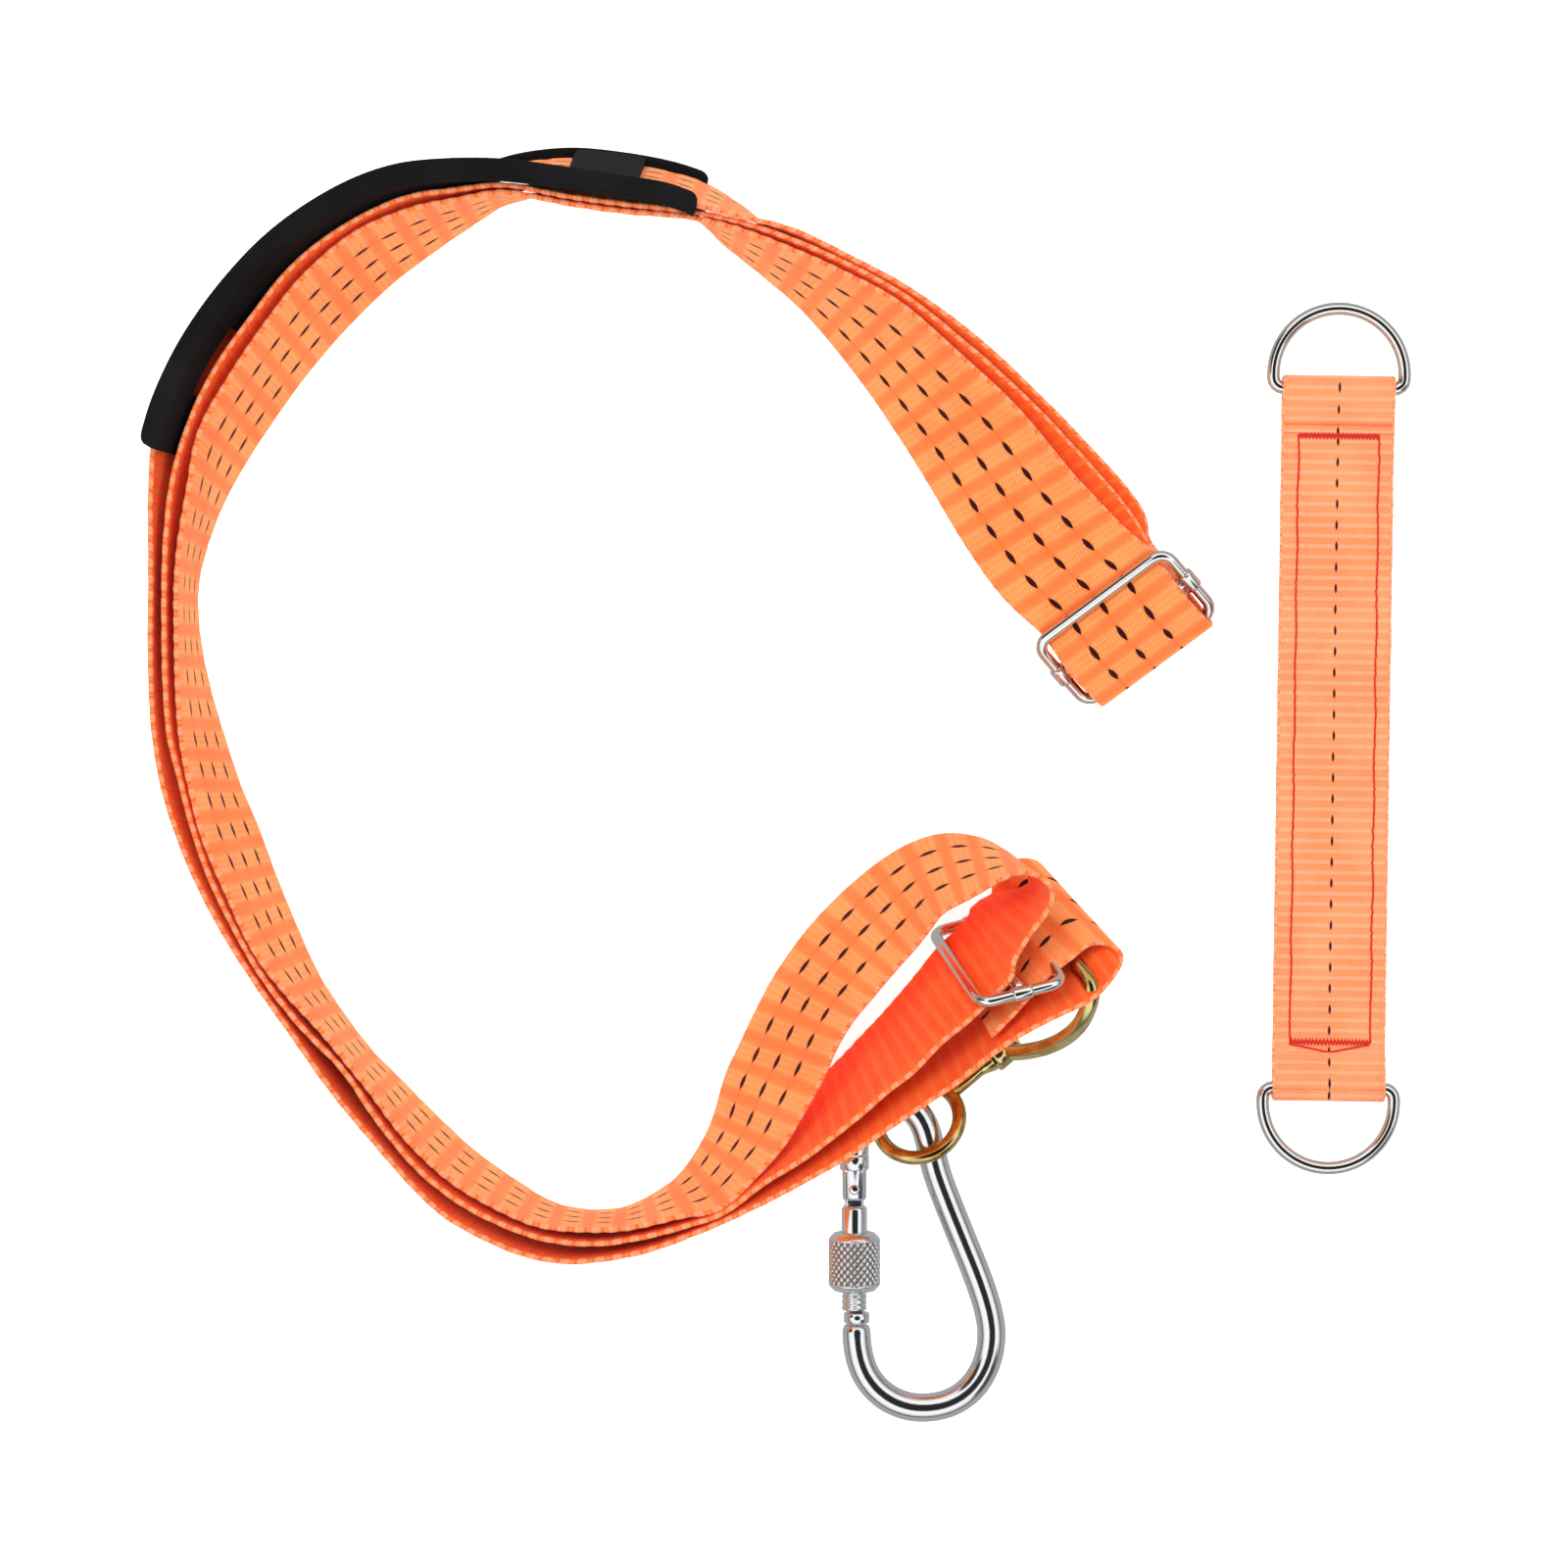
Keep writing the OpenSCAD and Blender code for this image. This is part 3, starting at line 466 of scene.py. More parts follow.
def fleck_rows(g, s, w, along, across):
    """Bright fleck pattern: rows of small ticks, each row shifted by half a tick."""
    row = g.math("FLOOR", g.math("DIVIDE", s, along))
    shifted = g.add(w, g.mul(row, across / 2))
    a = g.math("COSINE", g.mul(shifted, 2 * math.pi / across))
    b = g.math("SINE", g.mul(g.math("FRACT", g.math("DIVIDE", s, along)), math.pi))
    return g.mul(g.ramp(a, -0.3, 1.0), b)


def tracer(g, s, w, rows, period, length, width):
    """Mask of the woven dashes: thin spindles in rows, w from the webbing's middle."""
    along = g.math("DIVIDE", repeat(g, s, period), length / 2)
    taper = g.mul(g.sub(1.0, g.mul(along, along)), width / 2)
    near = None
    for r in rows:
        d = g.math("ABSOLUTE", g.sub(w, r))
        near = d if near is None else g.math("MINIMUM", near, d)
    return g.ramp(g.sub(taper, near), -0.06, 0.1)


def webbing_face(name, light, deep, tracer_rows, ribs, period=TRACER_STEP):
    """Woven polyester: flecks, cross ribs, fuzz, and on one face the dark woven dashes. The rib rows are tinted
    towards deep; on the plain face deep is the lighter colour, so there the rows are painted highlights.
    """
    g = Graph(name)
    s, w = g.uv()
    rib = g.ramp(repeat(g, g.add(s, period / 2), period), period * 0.1, period * 0.27, 1.0, 0.0)
    fleck = fleck_rows(g, s, w, 2.2, 1.25)
    band = g.sub(1.0, rib)
    pale = g.mul(fleck, g.add(g.mul(band, 0.75), 0.12))
    cloud = g.noise(38.0, 4.0, 0.6)
    fuzz = g.noise(900.0, 2.0, 0.6)
    # rib rows: on the dash face they take the deeper colour; on the plain face deep is lighter, so there they
    # are painted highlights on the ribs
    base = g.mix(g.mul(rib, ribs), light, deep)
    base = g.mix(g.mul(g.ramp(cloud, 0.42, 0.62), 0.35), base, deep)
    pale_colour = (min(1.0, light[0] * 1.05), min(1.0, light[1] * 1.75), min(1.0, light[2] * 2.4), 1.0)
    base = g.mix(g.mul(pale, 0.7), base, pale_colour)
    base = g.mix(g.mul(fuzz, 0.18), base, deep)
    height = g.add(g.mul(fleck, 0.10), g.mul(fuzz, 0.06))
    if tracer_rows:
        mask = tracer(g, s, w, tracer_rows, period, DASH_LENGTH, DASH_WIDTH)
        halo = tracer(g, s, w, tracer_rows, period, DASH_LENGTH * 1.9, DASH_WIDTH * 1.5)
        base = g.mix(g.mul(halo, 0.35), base, deep)
        base = g.mix(mask, base, rgb(46, 8, 8))
        height = g.sub(height, g.mul(mask, 0.18))
    g.set(Base_Color=base, Roughness=0.78, Specular_IOR_Level=0.2, Sheen_Weight=0.08, Sheen_Roughness=0.5,
          Sheen_Tint=(1.0, 0.8, 0.65, 1.0))
    g.bump(height, 1.6 * MM, 0.9)
    return g.material


def webbing_edge(name, light, deep):
    """Selvedge: short slanting pale ticks on a deeper ground."""
    g = Graph(name)
    s, w = g.uv()
    tick = g.math("SINE", g.mul(g.add(s, g.mul(w, 0.8)), 2 * math.pi / 1.9))
    long_wave = g.ramp(repeat(g, s, TRACER_STEP / 2), 0.6, 2.2, 1.0, 0.0)
    base = g.mix(g.ramp(tick, 0.1, 1.0, 0.0, 0.55), deep, light)
    base = g.mix(g.mul(long_wave, 0.35), base, rgb(255, 205, 165))
    fuzz = g.noise(700.0, 2.0, 0.6)
    g.set(Base_Color=base, Roughness=0.8, Specular_IOR_Level=0.25, Sheen_Weight=0.25)
    g.bump(g.add(g.mul(tick, 0.12), g.mul(fuzz, 0.06)), 1.5 * MM, 0.8)
    return g.material


def metal(name, colour, rough, second=None, mottled=0.0):
    """Bright plating: faint clouding, fine scratches, small pits."""
    g = Graph(name)
    cloud = g.noise(60.0, 3.0, 0.6)
    fine = g.noise(1500.0, 2.0, 0.7)
    if second:
        base = g.mix(g.ramp(cloud, 0.4, 0.6), colour, second)
    else:
        base = g.mix(g.mul(cloud, 0.12), colour, (0.35, 0.36, 0.38, 1.0))
    g.set(Base_Color=base, Roughness=g.ramp(fine, 0.3, 0.75, rough, rough + 0.05), Metallic=1.0)
    g.bump(g.add(g.mul(fine, 0.02), g.mul(cloud, mottled)), MM, 0.5)
    return g.material


def knurled_steel():
    """Plated steel with painted shade: the grooves of a diamond knurl are coloured near black to stand in for
    the shade in them. The UV is (angle, height).
    """
    g = Graph("knurled_steel")
    angle, height = g.uv()
    turn = g.mul(angle, KNURL_TURNS)
    rise = g.mul(height, KNURL_RISE)
    near = g.math("MINIMUM", g.math("ABSOLUTE", g.math("SINE", g.add(turn, rise))),
                  g.math("ABSOLUTE", g.math("SINE", g.sub(turn, rise))))
    inside = g.ramp(g.math("ABSOLUTE", height), KNURL_HALF, KNURL_HALF + 0.4, 1.0, 0.0)
    # groove mask: where the painted shade goes, between the knurl's diamonds
    groove = g.mul(g.ramp(near, 0.12, 0.5, 1.0, 0.0), inside)
    # painted shade: near-black colour in the grooves
    colour = g.mix(groove, (0.78, 0.79, 0.8, 1.0), (0.1, 0.1, 0.11, 1.0))
    g.set(Base_Color=colour, Roughness=g.ramp(groove, 0, 1, 0.14, 0.5), Metallic=1.0)
    g.bump(g.mul(g.noise(1200.0), 0.03), MM, 0.5)
    return g.material


def plastic(name):
    """Black moulded plastic, satin, with fine grain and dull wear in random patches."""
    g = Graph(name)
    grain = g.noise(1400.0, 3.0, 0.6)
    cloud = g.noise(25.0, 4.0, 0.6)
    base = g.mix(g.ramp(cloud, 0.35, 0.7, 0.0, 0.6), rgb(20, 19, 20), rgb(34, 33, 35))
    g.set(Base_Color=base, Roughness=g.ramp(cloud, 0.3, 0.7, 0.55, 0.66), Specular_IOR_Level=0.03)
    g.bump(g.mul(grain, 0.05), MM, 0.5)
    return g.material


def thread_material():
    """Red sewing thread, twisted."""
    g = Graph("red_thread")
    s, w = g.uv()
    twist = g.math("SINE", g.mul(g.add(s, w), 2 * math.pi / THREAD_LAY))
    g.set(Base_Color=g.mix(g.ramp(twist, -1.0, 1.0), rgb(196, 18, 8), rgb(240, 48, 26)), Roughness=0.55)
    g.bump(g.mul(twist, 0.05), MM, 0.7)
    return g.material


ORANGE = rgb(249, 151, 84)
DEEP = rgb(247, 102, 42)
RED_ORANGE = rgb(255, 84, 28)
face_dash = webbing_face("webbing_dash_face", ORANGE, DEEP, (-13.0, -1.0, 11.0), 0.5)
# rgb(255, 122, 56) is the lighter colour here: it paints highlights on the rib rows, and also tints the cloud
# and fuzz
face_plain = webbing_face("webbing_plain_face", RED_ORANGE, rgb(255, 122, 56), (), 0.6, TRACER_STEP / 2)
edge_long = webbing_edge("webbing_selvedge", rgb(255, 168, 100), rgb(248, 110, 45))
chrome = metal("bright_chrome", (0.78, 0.77, 0.75, 1.0), 0.06)
rod_steel = metal("plated_steel", (0.76, 0.77, 0.79, 1.0), 0.09, mottled=0.02)
gold = metal("yellow_zinc", rgb(218, 200, 140), 0.1, second=rgb(178, 140, 74), mottled=0.02)
knurled = knurled_steel()
pad_black = plastic("pad_black")
red_thread = thread_material()

# ---------------------------------------------------------------- long strap webbing


def ripple(s, seed, scale):
    """Slow random unevenness along the webbing, about -1 to 1."""
    rng = np.random.default_rng(seed)
    total = np.zeros_like(s)
    for _ in range(6):
        total += np.sin(s * 2 * math.pi / (scale * rng.uniform(0.6, 1.7)) + rng.uniform(0, 6.28)) / 3
    return total


def web_rows(points, along, half, thick, columns, ribs=True):
    """Rings of points round a flat section, the uv of each, and the material index of each column."""
    mid, across, normal = band_axes(points)
    w = np.linspace(-half + 0.7, half - 0.7, columns)
    edge = [(half - 0.25, 0.72), (half, 0.28), (half, -0.28), (half - 0.25, -0.72)]
    profile = [(x, 1.0) for x in w] + edge + [(x, -1.0) for x in w[::-1]] + [(-a, -b) for a, b in edge]
    kinds = [0] * (columns - 1) + [2] * 5 + [1] * (columns - 1) + [2] * 5
    wave = ripple(along, 3, 23) * 0.072
    near = np.abs((along / TRACER_STEP + 0.5) % 1 - 0.5) * TRACER_STEP
    groove = 0.28 * np.exp(-((near / 1.3) ** 2)) if ribs else np.zeros_like(along)
    swell = 0.15 * np.cos(along * 4 * math.pi / TRACER_STEP) if ribs else np.zeros_like(along)
    tooth = 0.1 * np.cos(along * 2 * math.pi / 2.2)
    rings, uvs = [], []
    for i in range(len(points)):
        ring = []
        for x, side in profile:
            rim = abs(x) > half - 0.6
            relief = groove[i] if side == 1 else swell[i] if side == -1 else 0
            out = side * (thick - relief)
            grow = (tooth[i] + 0.1) * 0.5 if rim else 0
            ring.append(mid[i] + across[i] * (x + math.copysign(grow, x) + wave[i]) + normal[i] * out)
        rings.append(np.array(ring))
        uvs += [(along[i], x) for x, side in profile]
    return rings, uvs, kinds


def ribbon(name, points, along, half, thick, columns, materials, ribs=True, closed=False):
    """Webbing object over stations. materials are those of the face, the back and the edges."""
    rings, uvs, kinds = web_rows(points, along, half, thick, columns, ribs)
    index = kinds * len(rings) if closed else kinds * (len(rings) - 1) + [2, 2]
    return make_object(name, *skin(rings, closed, True), materials, index, uvs)


def joined_route(*routes):
    """One list of dense stations from the routes in order."""
    parts = [smooth(r, 8) for r in routes]
    return np.concatenate([parts[0]] + [p[1:] for p in parts[1:]])


long_points = joined_route(ROUTE_SEWN_END, ROUTE_MIDDLE, ROUTE_HAIRPIN, ROUTE_ARCH, ROUTE_INNER,
                           ROUTE_BIGHT, ROUTE_PAD_RUN, ROUTE_OUTER, ROUTE_LOOP)
long_points, long_along = even(long_points, 1.3)
long_points = soften(long_points, 1.3)
strap = ribbon("long_strap_webbing", long_points, long_along, WEB_WIDTH / 2, 0.93, 24,
               [face_dash, face_plain, edge_long])

# ---------------------------------------------------------------- hardware


SLIDER_WIRE = 2.0


def rounded(half_a, half_b, r, steps):
    """Outline of a rectangle whose corners have radius r."""
    points = []
    for q, (ka, kb) in enumerate(((1, 1), (-1, 1), (-1, -1), (1, -1))):
        for k in range(steps + 1):
            a = math.radians(q * 90 + k * 90 / steps)
            points.append((ka * (half_a - r) + r * math.cos(a), kb * (half_b - r) + r * math.sin(a)))
    return points


def filled(points, step, closed=False):
    """The same polyline with extra points so that no gap is longer than step."""
    out = []
    m = len(points)
    for i in range(m if closed else m - 1):
        a, b = np.array(points[i]), np.array(points[(i + 1) % m])
        k = max(1, int(np.linalg.norm(b - a) / step))
        out += [a + (b - a) * j / k for j in range(k)]
    if not closed:
        out.append(np.array(points[-1]))
    return np.array(out)


def slider_piece(name, slider):
    line = [slider.point(u, v, 0) for u, v in rounded(28.0, 15.0, 5.0, 8)]
    return join_parts(name, [sweep(filled(line, 3, True), SLIDER_WIRE, True)], chrome)


def both_ways(half):
    """A profile that is the same on both sides of its middle, from the half that runs outward."""
    return [(-h, r) for h, r in half[::-1]] + half


def slider_bar_piece(name, slider, near=2.95, far=2.95):
    """Centre bar with a collar of radius near and far round the frame at its two ends."""
    parts = [sweep(filled([slider.point(-25.5, 0, 0), slider.point(25.5, 0, 0)], 3), SLIDER_WIRE)]
    for s, r in ((-1, near), (1, far)):
        collar = both_ways([(2.6, r), (3.2, r - 0.1), (3.5, r - 0.45), (3.5, SLIDER_WIRE + 0.08)])
        parts.append(lathe(slider.point(s * 28, 0, 0), slider.v, collar, 32))
    return join_parts(name, parts, chrome)


slider_a_piece = slider_piece("slider_a_wire", SLIDER_A)
slider_b_piece = slider_piece("slider_b_wire", SLIDER_B)
slider_a_bar_piece = slider_bar_piece("slider_a_centre_bar", SLIDER_A)
slider_b_bar_piece = slider_bar_piece("slider_b_centre_bar", SLIDER_B, 2.6, 2.54)

stem_dir = unit(RING_AT - NECK)
bow_loop = soften(np.concatenate([smooth(BOW_PATH, 8, True)] * 3), 3)[8 * len(BOW_PATH):16 * len(BOW_PATH)]
bow = join_parts("swivel_bow_rod", [
    sweep(bow_loop, 2.95, True, 32),
    lathe(NECK, stem_dir, [(-2.5, 2.65), (-2.5, 4.9), (-1.9, 5.5), (3.7, 5.6), (4.4, 5.1), (4.5, 2.65)], 40,
          bore=True)], gold)

side_base = unit(np.array([0.645, -0.765, 0]) - stem_dir * (np.array([0.645, -0.765, 0]) @ stem_dir))
up_base = np.cross(stem_dir, side_base)
tilt = math.radians(RING_TILT)
ring_side = side_base * math.cos(tilt) - up_base * math.sin(tilt)
ring_points = [RING_AT + RING_RADIUS * (stem_dir * math.cos(a) + ring_side * math.sin(a))
               for a in np.arange(72) * math.pi / 36]
reach = float(np.linalg.norm(RING_AT - NECK)) - RING_RADIUS
ring = join_parts("swivel_ring_wire", [
    sweep(ring_points, 2.5, True, 32),
    lathe(NECK, stem_dir, [(-6.8, 1.6), (-6.6, 2.3), (-6.0, 2.48), (4.9, 2.48), (5.0, 4.0), (5.5, 4.25),
                           (9.0, 2.9), (10.5, 2.6), (reach + 0.6, 2.5), (reach + 1.4, 1.6)], 40)], gold)
washer_profile = [(-0.8, 2.6), (-0.8, 3.3), (-0.5, 3.75), (0.5, 3.75), (0.8, 3.4), (0.8, 2.6)]
washer = join_parts("swivel_rivet_washer", [lathe(NECK - stem_dir * 5.9, stem_dir, washer_profile)], gold)

TIP_COS, TIP_SIN = math.cos(math.radians(CARABINER_TIP)), math.sin(math.radians(CARABINER_TIP))
FOOT_Y, FOOT_Z = -218.6, 5.4  # middle of the rod where the carabiner rests on the floor


def tipped(x, y, z=0.0):
    """A point drawn flat in the carabiner's own plane, brought to where the carabiner leans."""
    up = y - FOOT_Y
    return np.array([x, FOOT_Y + up * TIP_COS - z * TIP_SIN, FOOT_Z + up * TIP_SIN + z * TIP_COS])


GATE_AXIS = unit(tipped(0, 1) - tipped(0, 0))
FLAT_AXIS = unit(tipped(0, 0, 1) - tipped(0, 0, 0))
SIDE_AXIS = np.array([1.0, 0, 0])


def block(centre, size, round_by):
    """Box with rounded long edges. size is along x, along the gate, and out of the plane."""
    hx, hy, hz = size[0] / 2, size[1] / 2, size[2] / 2
    rings = []
    ends = ((-hy, 0.5), (-hy + 0.35, 0.12), (-hy + 0.7, 0), (hy - 0.7, 0), (hy - 0.35, 0.12), (hy, 0.5))
    for y, inset in ends:
        grow = 1 - inset / max(hx, hz)
        rings.append(np.array([np.array(centre) + SIDE_AXIS * x * grow + GATE_AXIS * y + FLAT_AXIS * z * grow
                               for x, z in rounded(hx, hz, round_by, 4)]))
    return skin(rings, flip=True)


def cheek(sign):
    """One side of the gate's fork: a slice of a round bar, flat towards the gate."""
    bar, slot = 4.75, 2.35
    start = math.asin(slot / bar)
    sizes = ((-145.0, 0.75), (-144.7, 0.92), (-144.0, 1.0), (-134.4, 1.0), (-133.6, 1.03), (-133.0, 1.03))
    rings = []
    for y, shrink in sizes:
        ring = []
        for a in np.linspace(start, math.pi - start, 17):
            high = max(slot, bar * math.sin(a) * shrink)
            ring.append(tipped(GATE_X + bar * math.cos(a) * shrink, y, sign * high))
        rings.append(np.array(ring))
    return skin(rings, flip=sign > 0)


rod_line = smooth(ROD_PATH, 6)
rod_line = soften(even(rod_line, 1.6)[0], 2)
rod_points = np.array([tipped(x, y) for x, y in rod_line])
rod_radius = np.full(len(rod_points), 5.0)
rod_radius[:3] = (4.2, 4.7, 4.95)
carabiner = join_parts("carabiner_rod", [
    sweep(rod_points, rod_radius, False, 36),
    lathe(tipped(GATE_X, -132.5), -GATE_AXIS,
          [(-3.4, 4.2), (-3.2, 4.9), (-2.6, 5.12), (1.6, 5.12), (2.1, 4.6), (2.4, 4.2)]),
    cheek(1), cheek(-1),
    block(tipped(GATE_X, -134.1, 0), (8.0, 2.6, 8.2), 1.2),
    lathe(tipped(25.4, -186.6), GATE_AXIS, [(-1.8, 4.2), (-1.6, 4.45), (1.5, 4.5), (1.8, 4.1)]),
    block(tipped(25.2, -182.9), (5.4, 5.2, 2.6), 0.5)], rod_steel)


def knurl(a, h):
    """Diamond knurl: two crossed sets of slanting grooves."""
    if abs(h) > KNURL_HALF + 0.2:
        return np.zeros_like(a)
    g1 = np.abs(np.sin(a * KNURL_TURNS + h * KNURL_RISE))
    g2 = np.abs(np.sin(a * KNURL_TURNS - h * KNURL_RISE))
    return -0.9 * (1 - np.minimum(g1, g2)) ** 1.7


def threads(a, h):
    """Shallow round grooves, as a thread looks from the side, near the gate's free end."""
    return np.full_like(a, -0.32 * (0.5 + 0.5 * math.cos(2 * math.pi * h / 1.9)) if 0.5 < h < 7.7 else 0.0)


NUT_SIDES = 208
nut_end = [(7.8, 9.0), (8.4, 8.8), (9.4, 7.9), (10.1, 7.2), (10.45, 6.0), (10.4, 4.75)]
nut_profile = [(-h, r) for h, r in nut_end[::-1]] + [(h, 9.05) for h in np.arange(-7.5, 7.6, 0.25)] + nut_end
nut_verts, nut_faces = lathe(tipped(GATE_X, NUT_MID), GATE_AXIS, nut_profile, NUT_SIDES, knurl, True)
nut_uv = [(2 * math.pi * j / NUT_SIDES, h) for h, _ in nut_profile for j in range(NUT_SIDES)]
nut = make_object("lock_nut_knurled", nut_verts, nut_faces, [knurled], None, nut_uv)
gate_top = PIVOT_Y - 6.2
tube_length = gate_top - GATE_END
gate_profile = [(0.1, 3.2), (0.0, 3.7), (0.3, 4.3)] + [(h, 4.4) for h in np.arange(0.6, 7.6, 0.16)]
gate_profile += [(8.0, 4.42), (tube_length - 1.2, 4.45), (tube_length - 0.5, 4.2), (tube_length, 3.6)]
gate = join_parts("carabiner_gate_tube", [
    lathe(tipped(GATE_X, GATE_END), GATE_AXIS, gate_profile, 48, threads),
    block(tipped(GATE_X, PIVOT_Y - 3.5), (6.6, 9.0, 4.0), 0.9),
    lathe(tipped(GATE_X, PIVOT_Y + 0.5, -2), FLAT_AXIS,
          [(0, 3.0), (0.3, 3.3), (3.7, 3.3), (4, 3.0)])], rod_steel)
rivet_profile = [(0, 1.2), (0.3, 1.75), (0.8, 1.9), (0.85, 1.5),
                 (9.35, 1.5), (9.4, 1.9), (9.9, 1.75), (10.2, 1.2)]
rivet = join_parts("gate_rivet_pin", [lathe(tipped(GATE_X, PIVOT_Y, -5.1), FLAT_AXIS, rivet_profile, 28)],
                   rod_steel)

# ---------------------------------------------------------------- short strap

SHORT_LEAN = math.radians(-0.85)
SHORT_MID = np.array([192.6, 16.0, 0.0])
Y_END, BAR_IN, BAR_Z = 127.25, 4.65, 4.65


def short_frame(x, y, z):
    return SHORT_MID + [x * math.cos(SHORT_LEAN) - y * math.sin(SHORT_LEAN),
                        x * math.sin(SHORT_LEAN) + y * math.cos(SHORT_LEAN), z]


# (distance from the end, height) of each ply's middle, from an end towards the strap's middle
TOP_END = [[BAR_IN, BAR_Z + 3.6], [9, BAR_Z + 3.5], [16, BAR_Z + 0.6], [26, 3.45]]
BASE_END = [[BAR_IN, BAR_Z + 3.6], [2.1, BAR_Z + 2.55], [1, BAR_Z], [2.1, BAR_Z - 2.55],
            [BAR_IN, BAR_Z - 3.6], [12, 1]]
TOP_PLY = [[d - Y_END, z] for d, z in TOP_END] + [[0, 3.4]] + [[Y_END - d, z] for d, z in TOP_END[::-1]]
BASE_PLY = [[Y_END - d, z] for d, z in BASE_END] + [[0, 1]] + [[d - Y_END, z] for d, z in BASE_END[::-1]]
loop_profile = smooth([[y, z, 0] for y, z in TOP_PLY + BASE_PLY[1:-1]], 12, True)
loop_profile = filled(list(loop_profile), 1.2, True)
half_short = 19.7
short_stations = np.array([[*short_frame(-half_short, y, z), *short_frame(half_short, y, z)]
                           for y, z, _ in loop_profile])
short_run = run_along(loop_profile)
SHORT_PERIOD = 7.38


def short_face(name, light, deep):
    """Light orange webbing with close pale cross rows, small ticks along them and one dark dashed row."""
    g = Graph(name)
    s, w = g.uv()
    rows_at = g.ramp(repeat(g, s, SHORT_PERIOD / 2), 0.35, 0.95, 1.0, 0.0)
    tick = g.math("COSINE", g.mul(w, 2 * math.pi / 1.3))
    tick_amount = g.ramp(tick, -0.2, 1.0)
    cloud = g.noise(45.0, 4.0, 0.6)
    fuzz = g.noise(900.0, 2.0, 0.6)
    base = g.mix(g.mul(g.ramp(cloud, 0.4, 0.62), 0.4), light, deep)
    pale = g.mul(rows_at, g.add(g.mul(tick_amount, 0.5), 0.4))
    base = g.mix(g.mul(pale, 0.45), base, rgb(255, 214, 182))
    base = g.mix(g.mul(fuzz, 0.15), base, deep)
    mask = tracer(g, g.add(s, SHORT_PERIOD / 4), w, (0.0,), SHORT_PERIOD, 3.9, 1.0)
    base = g.mix(mask, base, rgb(52, 14, 12))
    height = g.add(g.mul(rows_at, 0.12), g.mul(tick_amount, 0.06))
    g.set(Base_Color=base, Roughness=0.78, Specular_IOR_Level=0.25, Sheen_Weight=0.2,
          Sheen_Tint=(1.0, 0.85, 0.72, 1.0))
    g.bump(height, 1.6 * MM, 0.9)
    return g.material


short_out = short_face("short_webbing_face", rgb(255, 156, 104), rgb(250, 124, 74))
short_edge = webbing_edge("short_webbing_selvedge", rgb(255, 188, 140), rgb(250, 130, 80))
short_band = ribbon("short_strap_webbing", short_stations, short_run, half_short, 0.95, 26,
                    [short_out, short_out, short_edge], ribs=False, closed=True)


THREAD_SIDES = 8
SEAM_LEFT, SEAM_RIGHT, SEAM_LOW, SEAM_HIGH = -13.8, 14.4, -106.5, 106.0


def thread_line(points):
    return sweep(np.array(points), 0.35, False, THREAD_SIDES)


def top_height(y):
    """Height of the top face of the short strap over its own y."""
    path = smooth([[a, b, 0] for a, b in TOP_PLY], 12)
    return float(np.interp(y, path[:, 0], path[:, 1])) + 0.95


# the long seams, the two bar tacks, and the two threads that close the low end to a point
rng = np.random.default_rng(11)
thread_parts = []
for side in (SEAM_LEFT, SEAM_RIGHT):
    pts, y = [], SEAM_LOW
    while y < SEAM_HIGH + 1:
        pts.append(short_frame(side + 0.16 * math.sin(y * 0.21) + 0.1 * rng.standard_normal(), y,
                               top_height(y) + 0.1 + 0.14 * math.sin(y * 2 * math.pi / 3.2)))
        y += 0.8
    thread_parts.append(thread_line(pts))
for y_tack in (SEAM_LOW, SEAM_HIGH):
    pts = []
    for k in range(46):
        x = SEAM_LEFT + (SEAM_RIGHT - SEAM_LEFT) * k / 45
        pts.append(short_frame(x, y_tack + (1.1 if k % 2 else -1.1), top_height(y_tack) + 0.22))
    thread_parts.append(thread_line(filled(pts, 0.7)))
for side in (-1, 1):
    pts = []
    for k in np.arange(21) / 20:
        y = -107.4 - 2.6 * k
        pts.append(short_frame(side * 13.4 * (1 - k), y, top_height(y) + 0.2))
    thread_parts.append(thread_line(pts))


def thread_object(name, parts):
    """One object from several threads, with distance along and round each thread as UV."""
    uvs = []
    for v, _ in parts:
        run = run_along(v.reshape(-1, THREAD_SIDES, 3).mean(1))
        uvs += [(r, j * 0.28) for r in run for j in range(THREAD_SIDES)]
    return join_parts(name, parts, red_thread, uvs)


short_threads = thread_object("short_strap_stitching", thread_parts)
hem_rows = []
for y in np.linspace(106.9, 109.6, 6):
    z = top_height(y) + 0.1
    hem_rows.append([*short_frame(-half_short - 0.3, y, z), *short_frame(half_short + 0.1, y, z)])
hem = ribbon("short_strap_hem", np.array(hem_rows), np.linspace(0, 2.7, 6) + 1.2, half_short + 0.2, 0.42, 20,
             [short_out, short_out, short_edge], ribs=False)


def d_ring(name, flip):
    w, r, leg = 23.0, 3.5, 1.5
    pts = [(-w + r, 0.0), (w - r, 0.0)]
    pts += [(w - r + r * math.sin(a), r - r * math.cos(a)) for a in np.radians([22, 45, 68, 90])]
    pts += [(w * math.cos(a), r + leg + w * math.sin(a)) for a in np.radians(np.arange(0, 181, 5))]
    pts += [(-w + r - r * math.sin(a), r - r * math.cos(a)) for a in np.radians([90, 68, 45, 22])]
    sign = -1 if flip else 1
    base = -Y_END + BAR_IN if flip else Y_END - BAR_IN
    path = filled([short_frame(sign * x, base + sign * y, BAR_Z) for x, y in pts], 1.6, True)
    return join_parts(name, [sweep(path, 2.25, True, 28)], chrome)


d_up = d_ring("d_ring_upper_wire", False)
d_low = d_ring("d_ring_lower_wire", True)

